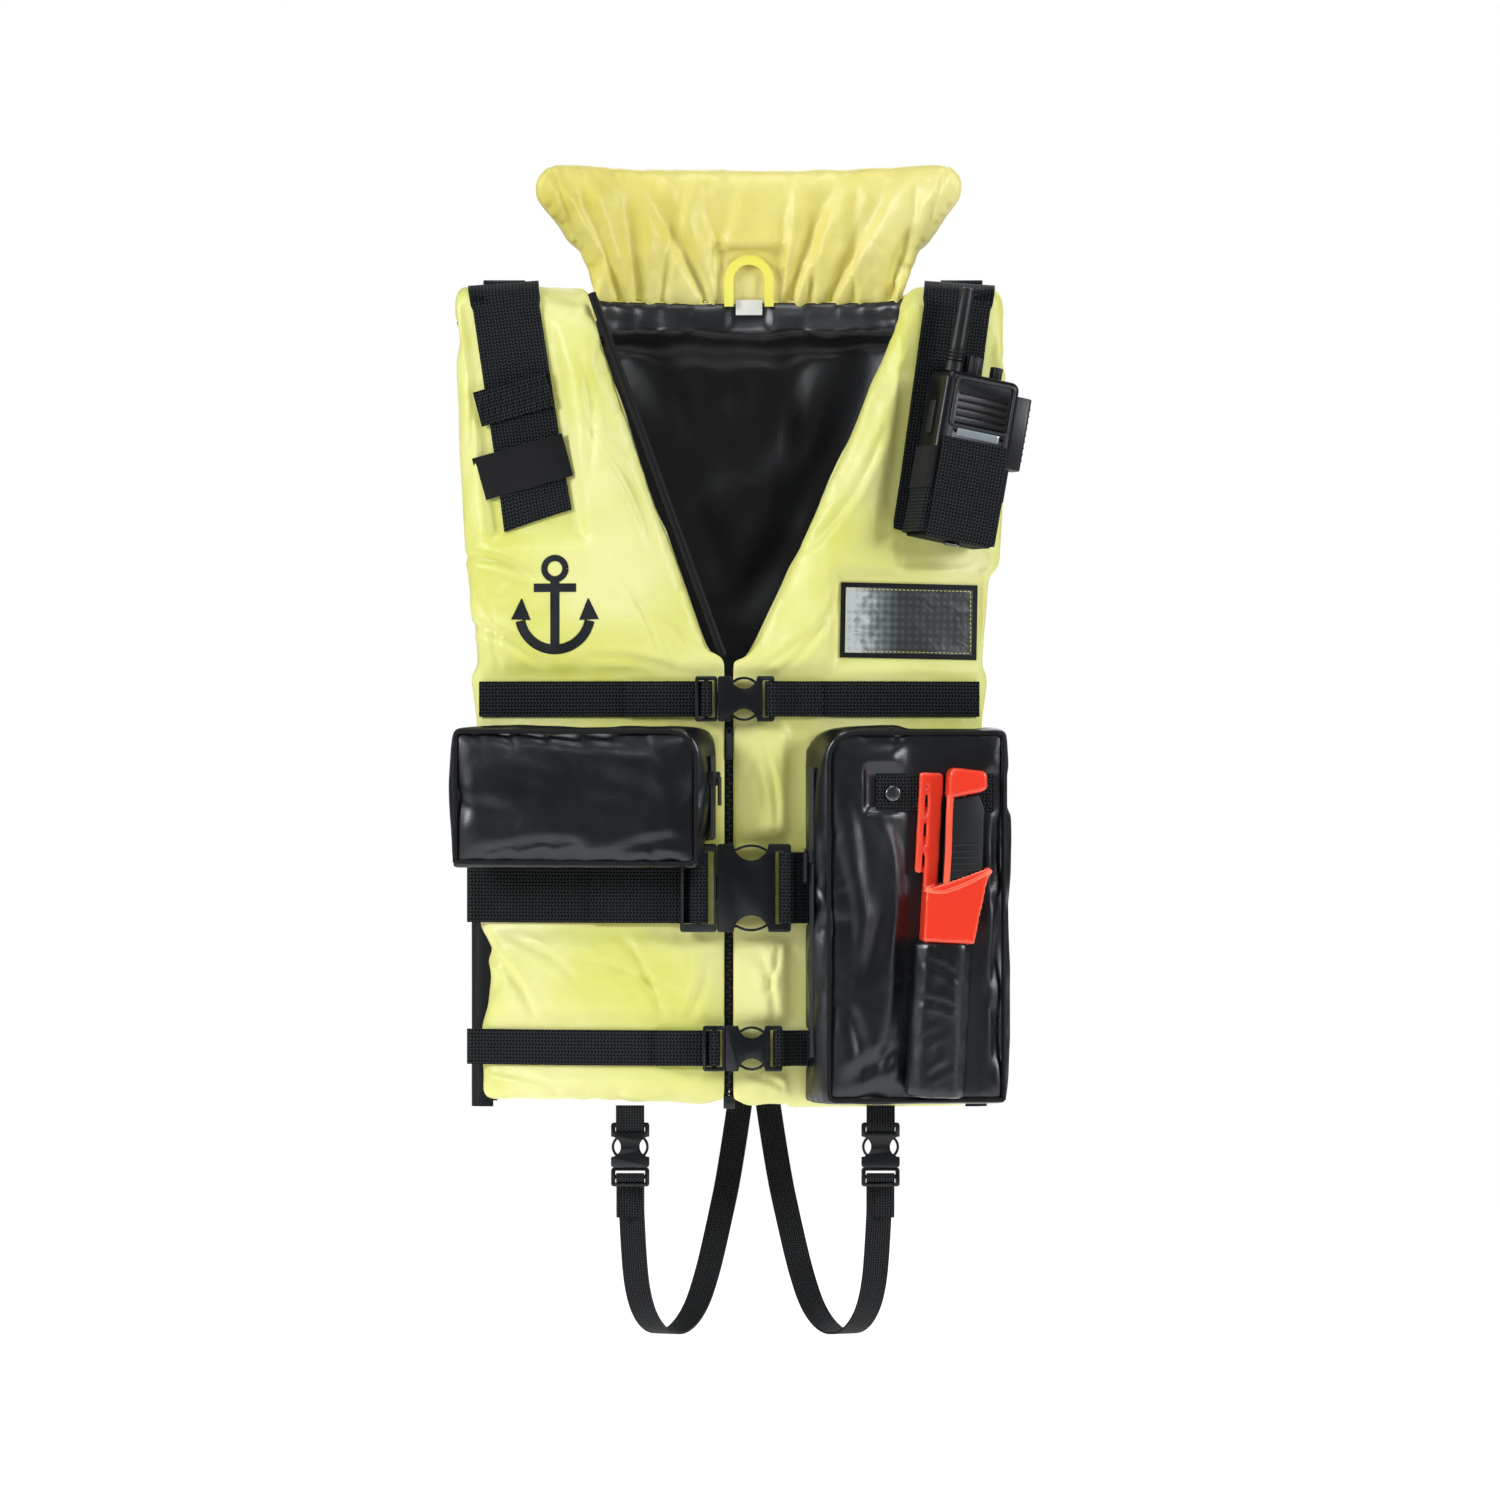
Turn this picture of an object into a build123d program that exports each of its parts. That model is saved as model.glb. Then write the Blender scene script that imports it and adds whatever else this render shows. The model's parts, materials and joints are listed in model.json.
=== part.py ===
"""Foam buoyancy work vest with collar, belts, pockets, radio and knife, as separate pieces.

Millimetres. +Z is up, +X is the wearer's left, and the wearer faces -Y. The origin is the middle
of the crown of the hanging loop at the back of the neck, which the vest hangs from.
"""

import os
from math import asin, cos, degrees, radians, sin, sqrt, tan

from build123d import *

# Torso: front and back are two round faces that meet an arch over the shoulders.
TORSO_X = -14.0  # the body of the vest hangs a little to the wearer's right of the loop
TORSO_Y = -38.0
HALF_DEPTH = 95.0
FACE_RADIUS = 460.0
ARCH_RADIUS = 60.0
SHOULDER_Z = -23.0
HEM_Z = -606.0
PANEL_T = 30.0  # cover, foam and lining together
CLOTH_T = 2.0
FIT = 0.3  # gap between pieces that lie on each other
FAR = 900.0

# Front view outline, as half-widths from TORSO_X
SHOULDER_HALF = 195.0
ARMHOLE_HALF = 195.0
ARMHOLE_Z = -179.0
SIDE_HALF = 180.0
SIDE_Z = -331.0
HEM_HALF = 175.0
NECK_HALF = 114.0
V_BOTTOM_Z = -290.0
ZIP_GAP_HALF = 5.0

# Collar
COLLAR_RADIUS = 230.0
COLLAR_Y = 4.0
COLLAR_T = 22.0
COLLAR_BASE_Z = -27.0
COLLAR_TOP_Z = 70.0
COLLAR_BASE_HALF = 111.0
COLLAR_TOP_HALF = 152.0
COLLAR_FLARE_Z = 44.0

# Belts: centre height, webbing width
CHEST_Z, CHEST_W = -317.0, 25.0
WAIST_Z, WAIST_W = -450.0, 50.0
HEM_BELT_Z, HEM_BELT_W = -563.0, 25.0
CROTCH_W = 20.0
WEBBING_T = 1.8
GIRTH_HALF = 184.0
BUCKLE_LIFT = 2.8  # from the torso to the back of a buckle

# Pockets, as plan outlines that slope back towards the sides
POCKET_SLOPE = 9.5
R_POCKET_X = (-210.0, -35.0, -15.0)
R_POCKET_Z = (-436.0, -337.0)
R_POCKET_Y = -166.0
L_POCKET_X = (33.0, 54.0, 182.0)
L_POCKET_Z = (-602.0, -338.0)
L_POCKET_Y = -164.0
PLUG_ROOM = 21.0  # depth kept free behind the right pocket, for the waist plug when it is drawn out

# Knife and sheath: the middle of the sheath's mouth, and the lean of its top towards +X
KNIFE_X, KNIFE_Z, KNIFE_LEAN = 138.5, -444.0, 3.1

# Radio: its centre, and the lean of its top towards +X
RADIO_X, RADIO_Z, RADIO_LEAN = 143.0, -147.0, 10.5
RADIO_W, RADIO_H, RADIO_T = 56.0, 116.0, 34.0

STRAP_W = 50.0  # shoulder webbing


def sag(x):
    """How far a torso face falls back at x."""
    return FACE_RADIUS - sqrt(FACE_RADIUS**2 - (x - TORSO_X) ** 2)


def chest_y(x):
    """The front face of the torso at x."""
    return TORSO_Y - HALF_DEPTH + sag(x)


def lens(grow):
    """Plan view of the torso, moved out by grow."""
    shift = FACE_RADIUS - HALF_DEPTH
    face = Circle(FACE_RADIUS + grow)
    return Pos(TORSO_X, TORSO_Y + shift) * face & Pos(TORSO_X, TORSO_Y - shift) * face


def torso(grow=0.0):
    """The torso's solid shape, moved out by grow."""
    body = Pos(0, 0, -FAR) * extrude(lens(grow), FAR + 100)
    height = 2 * FAR
    side = RectangleRounded(2 * (HALF_DEPTH + grow), height, ARCH_RADIUS + grow)
    arch = Plane.YZ * Pos(TORSO_Y, SHOULDER_Z + grow - height / 2) * side
    return body & extrude(arch, FAR, both=True)


def skin(inner, outer):
    """The layer of the torso between two offsets."""
    return torso(outer) - torso(inner)


def front_view(sketch, y_from=-FAR, y_to=FAR):
    """A sketch drawn in X and Z, as a solid from y_from to y_to."""
    plane = Plane(origin=(0, y_to, 0), x_dir=(1, 0, 0), z_dir=(0, -1, 0))
    return extrude(plane * sketch, y_to - y_from)


def block(x, y, z):
    """A box from three pairs of limits."""
    size = [abs(b - a) for a, b in (x, y, z)]
    middle = [(a + b) / 2 for a, b in (x, y, z)]
    return Pos(*middle) * Box(*size)


def save(name, shape):
    """Writes one node's STEP file."""
    solids = shape.solids() if hasattr(shape, "solids") else shape
    export_step(Compound(children=list(solids)), f"parts/{name}.step")


# --- vest body -----------------------------------------------------------------------------


def side_edge(side):
    """Outer edge of a front or back panel, from the shoulder to the hem."""
    top = (TORSO_X + side * SHOULDER_HALF, SHOULDER_Z + 1)
    middle = (TORSO_X + side * ARMHOLE_HALF, ARMHOLE_Z)
    waist = (TORSO_X + side * SIDE_HALF, SIDE_Z)
    hem = (TORSO_X + side * HEM_HALF, HEM_Z)
    return ThreePointArc(top, middle, waist) + Line(waist, hem), top, hem


def front_outline(side):
    """Front view of one front panel."""
    edge, top, hem = side_edge(side)
    centre = TORSO_X + side * ZIP_GAP_HALF
    neck = (side * NECK_HALF, SHOULDER_Z + 1)
    rest = Polyline(hem, (centre, HEM_Z), (centre, V_BOTTOM_Z), neck, top)
    return make_face(edge + rest)


def back_outline():
    """Front view of the back panel, with its scoop for the neck."""
    right, right_top, right_hem = side_edge(-1)
    left, left_top, left_hem = side_edge(1)
    step = COLLAR_BASE_Z - 1
    top = Polyline(
        right_top, (-NECK_HALF, SHOULDER_Z + 1), (-NECK_HALF, step),
        (NECK_HALF, step), (NECK_HALF, SHOULDER_Z + 1), left_top,
    )
    return make_face(right + Line(right_hem, left_hem) + left + top)


def neck_hole():
    """The space inside the collar's curve, which the back panel leaves open at the top."""
    curve = Pos(0, COLLAR_Y - COLLAR_RADIUS) * Circle(COLLAR_RADIUS)
    hole = Pos(0, 0, -90) * extrude(curve, 200)
    return hole & block((-NECK_HALF, NECK_HALF), (-FAR, FAR), (-90, 100))


def quilted(outline, half_space):
    """Cover, foam and lining of one panel. The cover is a tray that the foam lies in."""
    shape = front_view(outline) & half_space
    core = front_view(offset(outline, -2.5, kind=Kind.INTERSECTION)) & half_space
    foam = skin(CLOTH_T - PANEL_T, -CLOTH_T) & core
    cover = (skin(CLOTH_T - PANEL_T, 0) & shape) - foam
    lining = skin(-PANEL_T, CLOTH_T - PANEL_T) & shape
    return cover, foam, lining


def vest_body():
    """Front, back and side panels."""
    front = block((-FAR, FAR), (-FAR, TORSO_Y), (-FAR, FAR))
    back = block((-FAR, FAR), (TORSO_Y, FAR), (-FAR, FAR))
    linings = []
    for name, side in (("right", -1), ("left", 1)):
        cover, foam, lining = quilted(front_outline(side), front)
        save(f"{name}_front_cover", cover)
        save(f"{name}_front_foam", foam)
        linings += lining.solids()
    cover, foam, lining = quilted(back_outline(), back)
    hole = neck_hole()
    save("back_cover", cover - hole)
    save("back_foam", foam - hole)
    save("lining", linings + list((lining - hole).solids()))

    reach, bulge = 46.0, 1.0
    panels = []
    for side in (-1, 1):
        foot = TORSO_X + side * (SIDE_HALF + 1.4)
        arc = ThreePointArc(
            (foot, TORSO_Y - reach), (foot + side * bulge, TORSO_Y), (foot, TORSO_Y + reach)
        )
        edge = TORSO_X + side * (SIDE_HALF + 0.3)
        room = block((edge, edge + side * 60), (-FAR, FAR), (HEM_Z, HEM_Z + 230))
        panels += ((Pos(0, 0, HEM_Z) * extrude(trace(arc, CLOTH_T), 230)) & room).solids()
    save("side_panels", panels)


def collar():
    """Collar cover with its foam core, standing on the neckline."""
    def ring(inner, outer):
        disc = Circle(COLLAR_RADIUS + outer) - Circle(COLLAR_RADIUS + inner)
        return Pos(0, COLLAR_Y - COLLAR_RADIUS, -200) * extrude(disc, 400)

    points = [
        (-COLLAR_BASE_HALF, COLLAR_BASE_Z), (-COLLAR_BASE_HALF - 1, COLLAR_BASE_Z + 8),
        (-COLLAR_TOP_HALF, COLLAR_FLARE_Z), (-COLLAR_TOP_HALF, COLLAR_TOP_Z),
    ]
    points += [(-x, z) for x, z in reversed(points)]
    outline = make_face(Polyline(*points, close=True))
    top = outline.vertices().group_by(Axis.Y)[-1]
    outline = fillet(top, 18)
    back = block((-FAR, FAR), (-80, FAR), (-FAR, FAR))
    foam = ring(2, COLLAR_T - 2) & front_view(offset(outline, -3, kind=Kind.INTERSECTION)) & back
    save("collar_foam", foam)
    save("collar_cover", (ring(0, COLLAR_T) & front_view(outline) & back) - foam)


def neck_details():
    """Hanging loop and care label inside the neck."""
    leg, half, band, deep = 19.0, 18.5, 8.0, 1.6
    crown = band / 2 - half
    hole = half - band
    arch = Pos(0, crown) * Circle(half) + Pos(0, crown - leg / 2) * Rectangle(2 * half, leg)
    arch -= Pos(0, crown) * Circle(hole) + Pos(0, crown - leg) * Rectangle(2 * hole, 2 * leg)
    save("hang_loop", front_view(arch, -deep / 2, deep / 2))
    save("care_label", front_view(Pos(0, -34) * Rectangle(19, 11), 3.0, 3.6))


# --- fastenings ----------------------------------------------------------------------------


class Buckle:
    """A side-release buckle. Local X runs from the plug to the socket, Y across, Z outwards."""

    def __init__(self, webbing, width, socket_l, plug_l, thick):
        self.webbing, self.width, self.thick = webbing, width, thick
        self.socket_l, self.plug_l = socket_l, plug_l
        self.half = width / 2
        self.waist_x = 0.46 * socket_l
        self.scallop_r = 0.235 * socket_l

    def socket(self):
        """Hourglass housing with a slot for the webbing at its far end."""
        body = Pos(self.socket_l / 2, 0) * RectangleRounded(self.socket_l, self.width, 2)
        for side in (-1, 1):
            body -= Pos(self.waist_x, side * (self.half + 0.5)) * Circle(self.scallop_r)
        slot_l = 0.12 * self.socket_l
        slot_x = self.socket_l - 0.09 * self.socket_l - slot_l / 2
        body -= Pos(slot_x, 0) * RectangleRounded(slot_l, self.webbing + 1, 1)
        cavity_l = 0.74 * self.socket_l
        cavity = block((-1, cavity_l), (2 - self.half, self.half - 2), (1.5, self.thick - 1.5))
        return extrude(body, self.thick) - cavity

    def plug(self):
        """Ladder frame for the webbing, with the tongue that guides it into the socket."""
        low, high, bar = 1.2, self.thick - 1.2, 2.4
        frame = Pos(-self.plug_l / 2 - 0.15, 0) * RectangleRounded(self.plug_l - 0.3, self.width, 2)
        slot_l = (self.plug_l - 3 * bar) / 2
        for n in (0, 1):
            x = -self.plug_l + bar + slot_l / 2 + n * (slot_l + bar)
            frame -= Pos(x, 0) * Rectangle(slot_l, self.webbing + 1)
        middle = self.thick / 2
        tongue = block((-1, 0.66 * self.socket_l), (-0.14 * self.width, 0.14 * self.width),
                       (middle - 1.5, middle + 1.5))
        return Pos(0, 0, low) * extrude(frame, high - low) + tongue

    def latch_arms(self):
        """Two sprung arms that bow out through the socket's waist."""
        arms = []
        run = 0.8 * self.scallop_r
        low, high = 2.0, self.thick - 2.0
        for side in (-1, 1):
            inner, outer = side * (self.half - 4.0), side * (self.half - 1.3)
            root = (0.4, side * (self.half - 4.2))
            tip = (0.72 * self.socket_l, side * (self.half - 6.2))
            near, far = (self.waist_x - run, inner), (self.waist_x + run, inner)
            line = Line(root, near) + ThreePointArc(near, (self.waist_x, outer), far)
            line += Line(far, tip)
            arms.append(Pos(0, 0, low) * extrude(trace(line, 1.8), high - low))
        return arms


BELT_BUCKLE = Buckle(CHEST_W, 32.0, 40.0, 16.0, 9.0)
WAIST_BUCKLE = Buckle(WAIST_W, 62.0, 52.0, 26.0, 11.0)
CROTCH_BUCKLE = Buckle(CROTCH_W, 27.0, 31.5, 13.5, 8.0)


def on_chest(x, z):
    """Plane on the chest for a buckle whose mouth is at x, facing out."""
    y = TORSO_Y - HALF_DEPTH - BUCKLE_LIFT
    return Plane(origin=(x, y, z), x_dir=(1, 0, 0), z_dir=(0, -1, 0))


CROTCH_TABS = ((-84.0, "right"), (93.0, "left"))
CROTCH_TAB_Y = -112.0
STRAP_FRONT_Y = CROTCH_TAB_Y + 9.8  # the straps start behind their plugs
CROTCH_SOCKET_Z = -616.5


def under_hem(x):
    """Plane for a crotch buckle that hangs with its socket up, facing forwards."""
    mouth = CROTCH_SOCKET_Z - CROTCH_BUCKLE.socket_l
    return Plane(origin=(x, CROTCH_TAB_Y + 4, mouth), x_dir=(0, 0, 1), z_dir=(0, -1, 0))


def belt_band(z, width, x_from, x_to):
    """Webbing that lies on the chest between two places."""
    limits = block((x_from, x_to), (-FAR, TORSO_Y), (z - width / 2, z + width / 2))
    return skin(FIT, FIT + WEBBING_T) & limits


def girth_band(z, width):
    """Webbing round the whole vest, over the side panels."""
    band = Rectangle(2 * GIRTH_HALF, FAR)

    def ring(grow):
        face = lens(0) & Pos(TORSO_X, 0) * band
        return offset(fillet(face.vertices(), 8), grow)

    loop = ring(FIT + WEBBING_T) - ring(FIT)
    return Pos(0, 0, z - width / 2) * extrude(loop, width)


def belts():
    """Three belts with their buckles."""
    side_y = chest_y(TORSO_X - GIRTH_HALF)
    chest_left, chest_right = TORSO_X - SIDE_HALF + 3, TORSO_X + SIDE_HALF - 3
    table = (
        ("chest", CHEST_Z, CHEST_W, -22.0, BELT_BUCKLE),
        ("waist", WAIST_Z, WAIST_W, -22.5, WAIST_BUCKLE),
        ("hem", HEM_BELT_Z, HEM_BELT_W, -16.5, BELT_BUCKLE),
    )
    left_runs, sockets = [], []
    for name, z, width, mouth, buckle in table:
        plane = on_chest(mouth, z)
        sockets += (plane * buckle.socket()).solids()
        save(f"{name}_plug", plane * buckle.plug())
        save(f"{name}_latch_arms", [plane * arm for arm in buckle.latch_arms()])
        plug_end = mouth - buckle.plug_l / 2
        socket_end = mouth + buckle.socket_l - 2
        if name == "chest":
            save("chest_belt_right", belt_band(z, width, chest_left, plug_end))
            left_runs += belt_band(z, width, socket_end, chest_right).solids()
            continue
        loop = girth_band(z, width)
        zone = block((-FAR, plug_end), (-FAR, side_y + 30), (-FAR, FAR))
        save(f"{name}_belt_right", loop & zone)
        gap = block((-FAR, socket_end), (-FAR, side_y + 30), (-FAR, FAR))
        left_runs += (loop - gap).solids()
    save("belts_left", left_runs)
    save("belt_sockets", sockets)


# Crotch strap loops, as (distance towards the back, Z) in the upright plane from the buckle
# to the middle of the back hem. Chosen to hang freely under the strap's own weight.
STRAP_ROUTE = (
    (0.0, -655.0), (2.5, -696.0), (9.5, -742.0), (30.0, -766.0), (59.0, -771.0),
    (86.0, -757.0), (104.0, -730.0), (120.0, -694.0), (136.0, -655.0), (150.0, -606.5),
)
STRAP_BACK_Y = 40.0
STRAP_BACK_X = (-12.0, 16.0)
STRAP_T = 1.6


def bend_radii(route):
    """Radius of each bend: 0.45 of its shorter run over the tangent of half its turn."""
    radii = []
    for a, b, c in zip(route, route[1:], route[2:]):
        before, after = Vector(*b) - Vector(*a), Vector(*c) - Vector(*b)
        turn = before.get_angle(after)
        shorter = min(before.length, after.length)
        radii.append(0.45 * shorter / tan(radians(turn / 2)))
    return radii


def crotch_straps():
    """Two hanging straps, each with a short tab, a buckle and a loop to the back hem."""
    radii = bend_radii(STRAP_ROUTE)
    print("crotch strap radii", [round(r) for r in radii])
    tabs, sockets = [], []
    for (x, side), back_x in zip(CROTCH_TABS, STRAP_BACK_X):
        plane = under_hem(x)
        sockets += (plane * CROTCH_BUCKLE.socket()).solids()
        save(f"{side}_crotch_plug", plane * CROTCH_BUCKLE.plug())
        save(f"{side}_crotch_latch_arms", [plane * arm for arm in CROTCH_BUCKLE.latch_arms()])
        half = CROTCH_W / 2
        depth = (CROTCH_TAB_Y - 5.5, CROTCH_TAB_Y - 4)
        tabs.append(block((x - half, x + half), depth, (CROTCH_SOCKET_Z - 1.5, HEM_Z - 0.5)))

        start, end = Vector(x, STRAP_FRONT_Y), Vector(back_x, STRAP_BACK_Y)
        along = (end - start).normalized()
        stretch = (end - start).length / STRAP_ROUTE[-1][0]
        route = [(s * stretch, z) for s, z in STRAP_ROUTE]
        line = FilletPolyline(*route, radius=bend_radii(route))
        plane = Plane(origin=(x, STRAP_FRONT_Y, 0), x_dir=along, z_dir=along.cross(Vector(0, 0, 1)))
        strap = extrude(plane * trace(line, STRAP_T), half, both=True)
        print(side, "strap length", round(line.length), "volume ratio",
              round(strap.volume / (line.length * STRAP_T * CROTCH_W), 3))
        save(f"{side}_crotch_strap", strap)
    save("crotch_tabs", tabs)
    save("crotch_sockets", sockets)


ZIP_TOP_Z, ZIP_LOW_Z = -327.0, -597.0
ZIP_BACK = 8.0  # from the chest face to the chain


def zip_slider(width, length):
    """Slider that runs on a 2.4 mm chain. Local X across, Y along, Z outwards."""
    body = Box(width, length, 6.6)
    body -= Box(width - 1.6, length + 2, 3.4)
    bail = Pos(0, 1, 4.2) * Box(2, 6, 2.6) - Pos(0, 1, 3.9) * Box(4, 3.4, 1.6)
    return body + bail


def front_zip():
    """Zip with its chain, bottom box, slider and puller."""
    y = TORSO_Y - HALF_DEPTH + ZIP_BACK
    tapes = []
    for side in (-1, 1):
        run, inner = (ZIP_LOW_Z, ZIP_TOP_Z), TORSO_X + side * 0.15
        tape = block((inner, TORSO_X + side * 3.2), (y - 0.5, y + 0.5), run)
        ridge = block((inner, TORSO_X + side * 2.2), (y - 1.2, y + 1.2), run)
        tapes += (tape + ridge).solids()
    save("front_zip", tapes)
    box_h = 9.0
    low = (ZIP_LOW_Z - box_h, ZIP_LOW_Z)
    save("front_zip_box", block((TORSO_X - 4, TORSO_X + 4), (y - 2.5, y + 2.5), low))
    slider_z = -340.0
    plane = Plane(origin=(TORSO_X, y, slider_z), x_dir=(1, 0, 0), z_dir=(0, -1, 0))
    save("front_zip_slider", plane * zip_slider(8.6, 12.0))
    # the puller's eye goes round the bail, clear of it
    pull = Pos(0, -8.5) * RectangleRounded(4.6, 23, 1.6) - Pos(0, 0.4) * Rectangle(2.7, 3)
    save("front_zip_puller", plane * (Pos(0, 0, 6.0) * extrude(pull, 1.4)))


# --- shoulders and radio -------------------------------------------------------------------


def leaning(x, y, z, yaw, lean):
    """Plane that faces out from the chest, turned by yaw and with its top leaning towards +X."""
    yaw, lean = radians(yaw), radians(lean)
    flat = Vector(cos(yaw), sin(yaw), 0)
    across = flat * cos(lean) - Vector(0, 0, 1) * sin(lean)
    return Plane(origin=(x, y, z), x_dir=across, z_dir=(sin(yaw), -cos(yaw), 0))


def shoulder_strip(x_top, x_low, z_low, rise, width, inner, outer):
    """Webbing over one shoulder, from the chest to a little way down the back.

    Its lower end rises by rise from the wearer's right edge to the left one.
    """
    z_top = SHOULDER_Z + 10
    half = width / 2
    strip = make_face(Polyline((x_top - half, z_top), (x_top + half, z_top),
                               (x_low + half, z_low + rise), (x_low - half, z_low), close=True))
    front = front_view(strip, -FAR, TORSO_Y)
    back = front_view(Pos(x_top, -45) * Rectangle(width, 70), TORSO_Y, FAR)
    return skin(inner, outer) & (front + back)


def shoulders():
    """Webbing, keeper, elastic band and adjusters on the shoulders."""
    strips = shoulder_strip(-176.0, -148.0, -198.0, 15.0, STRAP_W, FIT, 2.3).solids()
    strips += shoulder_strip(151.0, 126.0, -198.0, -10.0, STRAP_W, FIT, 2.3).solids()
    save("shoulder_webbing", strips)
    tilt = 15.0
    keeper = Pos(-166.5, -105) * Rot(0, 0, tilt) * Rectangle(53, 25)
    save("right_shoulder_keeper", skin(2.6, 5.0) & front_view(keeper, -FAR, TORSO_Y))
    band = Pos(-160.0, -153) * Rot(0, 0, tilt) * Rectangle(66, 31)
    save("right_shoulder_band", skin(2.6, 4.8) & front_view(band, -FAR, TORSO_Y))
    adjusters = []
    for x in (-175.0, 152.0):
        frame = Box(30, 18, 3) - Pos(0, 4) * Box(24, 4.5, 5) - Pos(0, -4) * Box(24, 4.5, 5)
        adjusters.append(Pos(x, TORSO_Y, SHOULDER_Z + 4.4) * frame)
    save("shoulder_adjusters", adjusters)


def radio():
    """Handheld radio in its webbing sling on the left shoulder."""
    lift = 5.4  # webbing and sling lie between the radio and the chest
    slope = asin((RADIO_X - TORSO_X) / FACE_RADIUS)
    x, y = RADIO_X + lift * sin(slope), chest_y(RADIO_X) - lift * cos(slope)
    plane = leaning(x, y, RADIO_Z, degrees(slope), RADIO_LEAN)
    half_w, half_h = RADIO_W / 2, RADIO_H / 2
    body = extrude(RectangleRounded(RADIO_W, RADIO_H, 6), RADIO_T)
    body = fillet(body.edges().filter_by(Plane.XY).group_by(Axis.Z)[-1], 4)
    slots = [Pos(2, half_h - 16 - 5.2 * n, RADIO_T) * Box(38, 2.2, 3) for n in range(6)]
    for slot in slots:
        body -= slot
    button_x, button_z = -half_w, RADIO_T / 2
    body -= Pos(button_x, half_h - 34, button_z) * Box(7.4, 24.6, 10.6)
    body -= Pos(half_w - 14, half_h, RADIO_T / 2) * Box(4.2, 8, 4.2)
    body -= Pos(half_w - 32, half_h, RADIO_T / 2) * Box(5.2, 8, 5.2)
    save("radio_body", plane * body)

    antenna_x = -half_w + 10
    mast = Pos(antenna_x, half_h + 0.3, RADIO_T / 2) * Rot(-90, 0, 0)
    rod = mast * (extrude(Circle(6), 16) + Pos(0, 0, 16) * extrude(Circle(5), 44))
    save("radio_antenna", plane * rod)
    knobs = (
        ("radio_volume_knob", half_w - 32, 6.5, 13.0, 4.6),
        ("radio_channel_knob", half_w - 14, 4.5, 9.0, 3.6),
    )
    for name, x, r, height, stem in knobs:
        place = Pos(x, half_h + 0.4, RADIO_T / 2) * Rot(-90, 0, 0)
        ribbed = Circle(r)
        for turn in range(0, 360, 30):
            ribbed -= Rot(0, 0, turn) * Pos(r + 0.35, 0) * Circle(0.9)
        knob = extrude(ribbed, height) + Pos(0, 0, -3.2) * extrude(Circle(stem / 2 - 0.3), 3.4)
        save(name, plane * (place * knob))
    button = Pos(button_x + 0.15, half_h - 34, button_z) * Box(3.7, 24, 10)
    save("radio_talk_button", plane * button)
    adapter = Pos(half_w + 0.3 + 7, half_h - 34, 15) * Box(14, 52, 18)
    adapter = fillet(adapter.edges().filter_by(Axis.Y), 3)
    save("radio_side_adapter", plane * adapter)

    # the sling comes down behind the radio, under it and up its front
    under, face, cloth = -half_h - 0.4, RADIO_T + 0.4, 2.2
    back, front, turn, top = -1.3, face + 1.2, under - 1.2, 11
    sling_path = FilletPolyline((back, top), (back, turn), (front, turn), (front, top), radius=2)
    side = Plane(origin=(STRAP_W / 2, 0, 0), x_dir=(0, 0, 1), z_dir=(-1, 0, 0))
    sling = extrude(side * trace(sling_path, cloth), STRAP_W)
    save("radio_sling", plane * sling)
    # elastic at both sides of the sling, sewn to its edges
    wings = []
    for edge, low, high in ((-1, -27.0, 3.0), (1, -27.0, -3.5)):
        wing = block((edge * (half_w + 0.4), edge * (half_w + 2.2)), (low, high), (-1.8, face + 1.4))
        wing += block((edge * (STRAP_W / 2 + 0.3), edge * (half_w + 2.2)), (low, high), (face, face + 1.4))
        wing += block((edge * (STRAP_W / 2 + 0.3), edge * (half_w + 2.2)), (low, high), (-1.8, -0.4))
        wings.append(plane * wing)
    save("radio_band", wings)
    stud = Pos(0, under - 2.8, RADIO_T * 0.7) * Rot(90, 0, 0) * extrude(Circle(6), 2.2)
    return plane * stud


# --- pockets and knife ---------------------------------------------------------------------


def pocket_planform(xs, y):
    """Plan of a pocket: base corner, front corner and the far side, sloping back."""
    base, front, far = xs
    far_y = y + abs(far - front) * tan(radians(POCKET_SLOPE))
    return make_face(Polyline((base, -120), (front, y), (far, far_y), (far, -98), (base, -98), close=True))


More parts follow.
